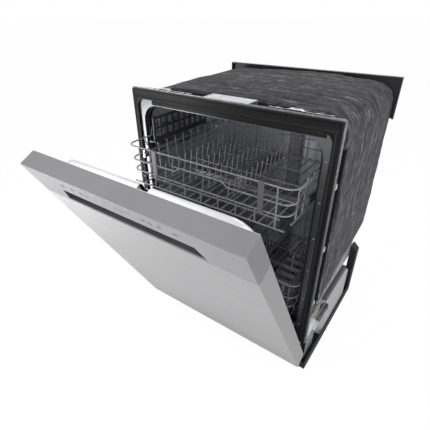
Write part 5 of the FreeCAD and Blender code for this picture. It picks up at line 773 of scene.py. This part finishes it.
# ---------------------------------------------------------------- door shell
# The outer panel is stainless sheet brushed across its width under a clear anti-fingerprint
# coat; the inner liner is pressed stainless.
door_steel = brushed("brushed_stainless_door", "#b4b4b6", "#cccccd", 0.38, (0.35, 0.0016, 0.0016),
                     spread=0.03, depth=0.00001)
dress(door_steel, "outer_panel")
# smooth pressed sheet, brighter and less marked than the panel
liner_steel = brushed("pressed_stainless_liner", "#d6d6d9", "#ececee", 0.3, (0.16, 0.05, 0.05),
                      spread=0.03)
dress(liner_steel, "inner_liner")


# ---------------------------------------------------------------- latch and dispenser
# Light grey latch housing, dark claw; the dispenser is a two-shot grey polypropylene moulding.
# The housing is the palest of them, and all have a soft shine.
latch_plastic = moulded("light_grey_latch_housing", "#b6b6b9", "#c6c6c9", 0.42, cloud=0.03)
dress(latch_plastic, "latch_housing")
dress(moulded("grey_latch_claw", "#77777b", "#88888c", 0.4), "latch_claw")
dispenser_plastic = moulded("grey_dispenser", "#88888c", "#9b9b9f", 0.34, cloud=0.05)
dress(dispenser_plastic, "dispenser_body", "dispenser_lid", "rinse_aid_cap")


# ---------------------------------------------------------------- console and handle pocket
# Folded steel console with a satin grey metallic paint, and a dark grained ABS pocket behind
# its mouth. The keys are flush printed pads behind a smoked window.
console_paint = moulded("satin_metallic_paint", "#8f8f91", "#98989a", 0.42, grain=0.0025, cloud=0.2,
                        Metallic=0.15, Specular_IOR_Level=0.4)
dress(console_paint, "console")
dress(moulded("grained_grey_pocket", "#4a4a4d", "#5c5c5f", 0.5), "handle_pocket")
dress(moulded("smoked_key_pads", "#6f6f73", "#7d7d81", 0.25), "display_and_keys")


# ---------------------------------------------------------------- screws
# Zinc-plated pan-head screws with cross recesses hold the rear bracket, the base pan's rear
# pillars, the control box's lid, the junction box's cover and the rims of the door's liner.
HEAD_RADIUS = 0.0042
HEAD_HEIGHT = 0.0018
HEAD_ROUND = 0.0007
CROSS = (0.0048, 0.0011, 0.0024)
DOOR_HINGE = Vector((0, -0.267, 0.170))
DOOR_ANGLE = math.radians(28.4)
out_of_liner = Vector((0, math.cos(DOOR_ANGLE), math.sin(DOOR_ANGLE)))
up_the_door = Vector((0, -math.sin(DOOR_ANGLE), math.cos(DOOR_ANGLE)))
recess = box("recess", CROSS, (0, 0, HEAD_HEIGHT))
cross_arm = box("cross_arm", (CROSS[1], CROSS[0], CROSS[2]), (0, 0, HEAD_HEIGHT))
clear_selection()
bpy.ops.mesh.primitive_cylinder_add(vertices=24, radius=HEAD_RADIUS, depth=HEAD_HEIGHT,
                                    location=(0, 0, HEAD_HEIGHT / 2))
head = bpy.context.object
bpy.ops.object.transform_apply(location=True, rotation=True, scale=True)
bpy.ops.object.mode_set(mode="EDIT")
choose(head, lambda middle, normal: normal.z > 0.9)
bpy.ops.mesh.bevel(offset=HEAD_ROUND, segments=2)
bpy.ops.object.mode_set(mode="OBJECT")
for cutter in (recess, cross_arm):
    modify(head, "BOOLEAN", object=cutter, operation="DIFFERENCE", solver="EXACT")
bpy.ops.object.shade_smooth_by_angle(angle=SHARP_ANGLE)
bpy.data.objects.remove(recess)
bpy.data.objects.remove(cross_arm)


def screwed(name, body, node, way, *starts):
    """Screw heads on a CAD node's face, where a line from each start along way meets it."""
    heads = []
    for start in starts:
        met, place, normal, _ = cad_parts[node].ray_cast(Vector(start), Vector(way))
        if not met:
            raise ValueError(name + " misses its face")
        one = linked(name, head.data.copy())
        facing = normal.to_track_quat("Z", "Y").to_matrix().to_4x4()
        one.data.transform(Matrix.Translation(place) @ facing)
        heads.append(one)
    made = joined(heads, name)
    bpy.ops.object.shade_smooth_by_angle(angle=SHARP_ANGLE)
    fitted(made, body, "zinc", zinc_plate)


screwed("rear_bracket_screws", "cabinet", "rear_bracket", (0, -1, 0),
        *[(x, 0.3, 0.812) for x in (-0.262, -0.09, 0.09, 0.262)])
screwed("pillar_screws", "cabinet", "base_frame", (0, -1, 0),
        *[(x, 0.3, z) for z in (0.17, 0.10) for x in (-0.288, 0.288)])
screwed("box_lid_screws", "cabinet", "control_box", (-1, 0, 0),
        *[(0.32, y, 0.155) for y in (-0.022, 0.068, 0.158)])
screwed("junction_cover_screws", "cabinet", "junction_box", (1, 0, 0),
        *[(-0.32, y, 0.058) for y in (-0.100, -0.058)])
screwed("liner_rim_screws", "door", "inner_liner", -out_of_liner,
        *[DOOR_HINGE + Vector((x, 0, 0)) + out_of_liner * 0.05 + up_the_door * height
          for x in (-0.287, 0.287) for height in (0.33, 0.45, 0.57)])
bpy.data.objects.remove(head)


# ---------------------------------------------------------------- studio
# White paper floor, a pale sky and large soft lamps, seen from the photograph's own place.
bpy.ops.mesh.primitive_plane_add(size=60, location=(0, 0, -0.0005))
floor = bpy.context.object
floor.name = "paper_floor"
# white paper: matt, and lit from within so far as the camera sees it, so that it stays white
paper, tree, shader, _ = material("white_paper", "#f4f4f4", 0.9, Specular_IOR_Level=0.1)
path = add(tree, "LightPath").outputs
seen = reckon(tree, "MAXIMUM", path["Is Camera Ray"], path["Is Transmission Ray"])
share = reckon(tree, "MAXIMUM", reckon(tree, "MULTIPLY", seen, 0.95),
               reckon(tree, "MULTIPLY", path["Is Glossy Ray"], 0.05))
glow = add(tree, "Emission", {"Color": (1, 1, 1, 1), "Strength": 1.02})
blend = add(tree, "MixShader", {0: share, 1: shader.outputs["BSDF"], 2: glow.outputs["Emission"]})
tree.links.new(blend.outputs["Shader"], tree.nodes["Material Output"].inputs["Surface"])
floor.data.materials.append(paper)

world = bpy.data.worlds.new("pale_room")
bpy.context.scene.world = world
world.use_nodes = True
tree = world.node_tree
back = tree.nodes["Background"]
path = add(tree, "LightPath").outputs
seen = reckon(tree, "MAXIMUM", path["Is Camera Ray"], path["Is Glossy Ray"])
seen = reckon(tree, "MAXIMUM", seen, path["Is Transmission Ray"])
tree.links.new(rise(tree, seen, 0.0, 1.0, 0.42, 1.0), back.inputs["Strength"])
back.inputs["Color"].default_value = (1, 1, 1, 1)

for name, place, aim, size, power in (
        ("key_softbox", (-1.8, -1.5, 2.4), (0, -0.1, 0.5), 1.8, 10.0),
        ("low_left_softbox", (-0.92, -1.12, 0.22), (0, -0.45, 0.5), 0.6, 9.5),
        ("mouth_softbox", (0.9, -1.9, 1.0), (-0.15, 0.05, 0.72), 0.8, 13.0),
        ("side_softbox", (2.4, -0.4, 1.7), (0, 0, 0.5), 1.6, 4.5),
        ("top_softbox", (0.2, 1.2, 2.8), (0, 0, 0.6), 1.8, 7.0)):
    lamp = bpy.data.lights.new(name, "AREA")
    lamp.shape = "SQUARE"
    lamp.size = size
    lamp.energy = power
    held = linked(name, lamp)
    held.location = place
    held.rotation_euler = (Vector(place) - Vector(aim)).to_track_quat("Z", "Y").to_euler()

CAMERA_PLACE = Vector((0.4879, -0.9547, 1.0376))
YAW, PITCH, ROLL = (math.radians(angle) for angle in (36.06, -31.23, -0.52))
PHOTO_PIXELS = 430
FOCAL_PIXELS = 346.32
SENSOR = 36.0
ahead = Vector((-math.sin(YAW) * math.cos(PITCH), math.cos(YAW) * math.cos(PITCH), math.sin(PITCH)))
level_right = Vector((math.cos(YAW), math.sin(YAW), 0))
level_up = level_right.cross(ahead)
right = math.cos(ROLL) * level_right + math.sin(ROLL) * level_up
up = -math.sin(ROLL) * level_right + math.cos(ROLL) * level_up
lens = bpy.data.cameras.new("photograph")
lens.sensor_width = SENSOR
lens.lens = FOCAL_PIXELS / PHOTO_PIXELS * SENSOR
camera = linked("photograph", lens)
camera.matrix_world = Matrix.Translation(CAMERA_PLACE) @ Matrix((right, up, -ahead)).transposed().to_4x4()
bpy.context.scene.camera = camera
bpy.context.scene.view_settings.view_transform = "Standard"
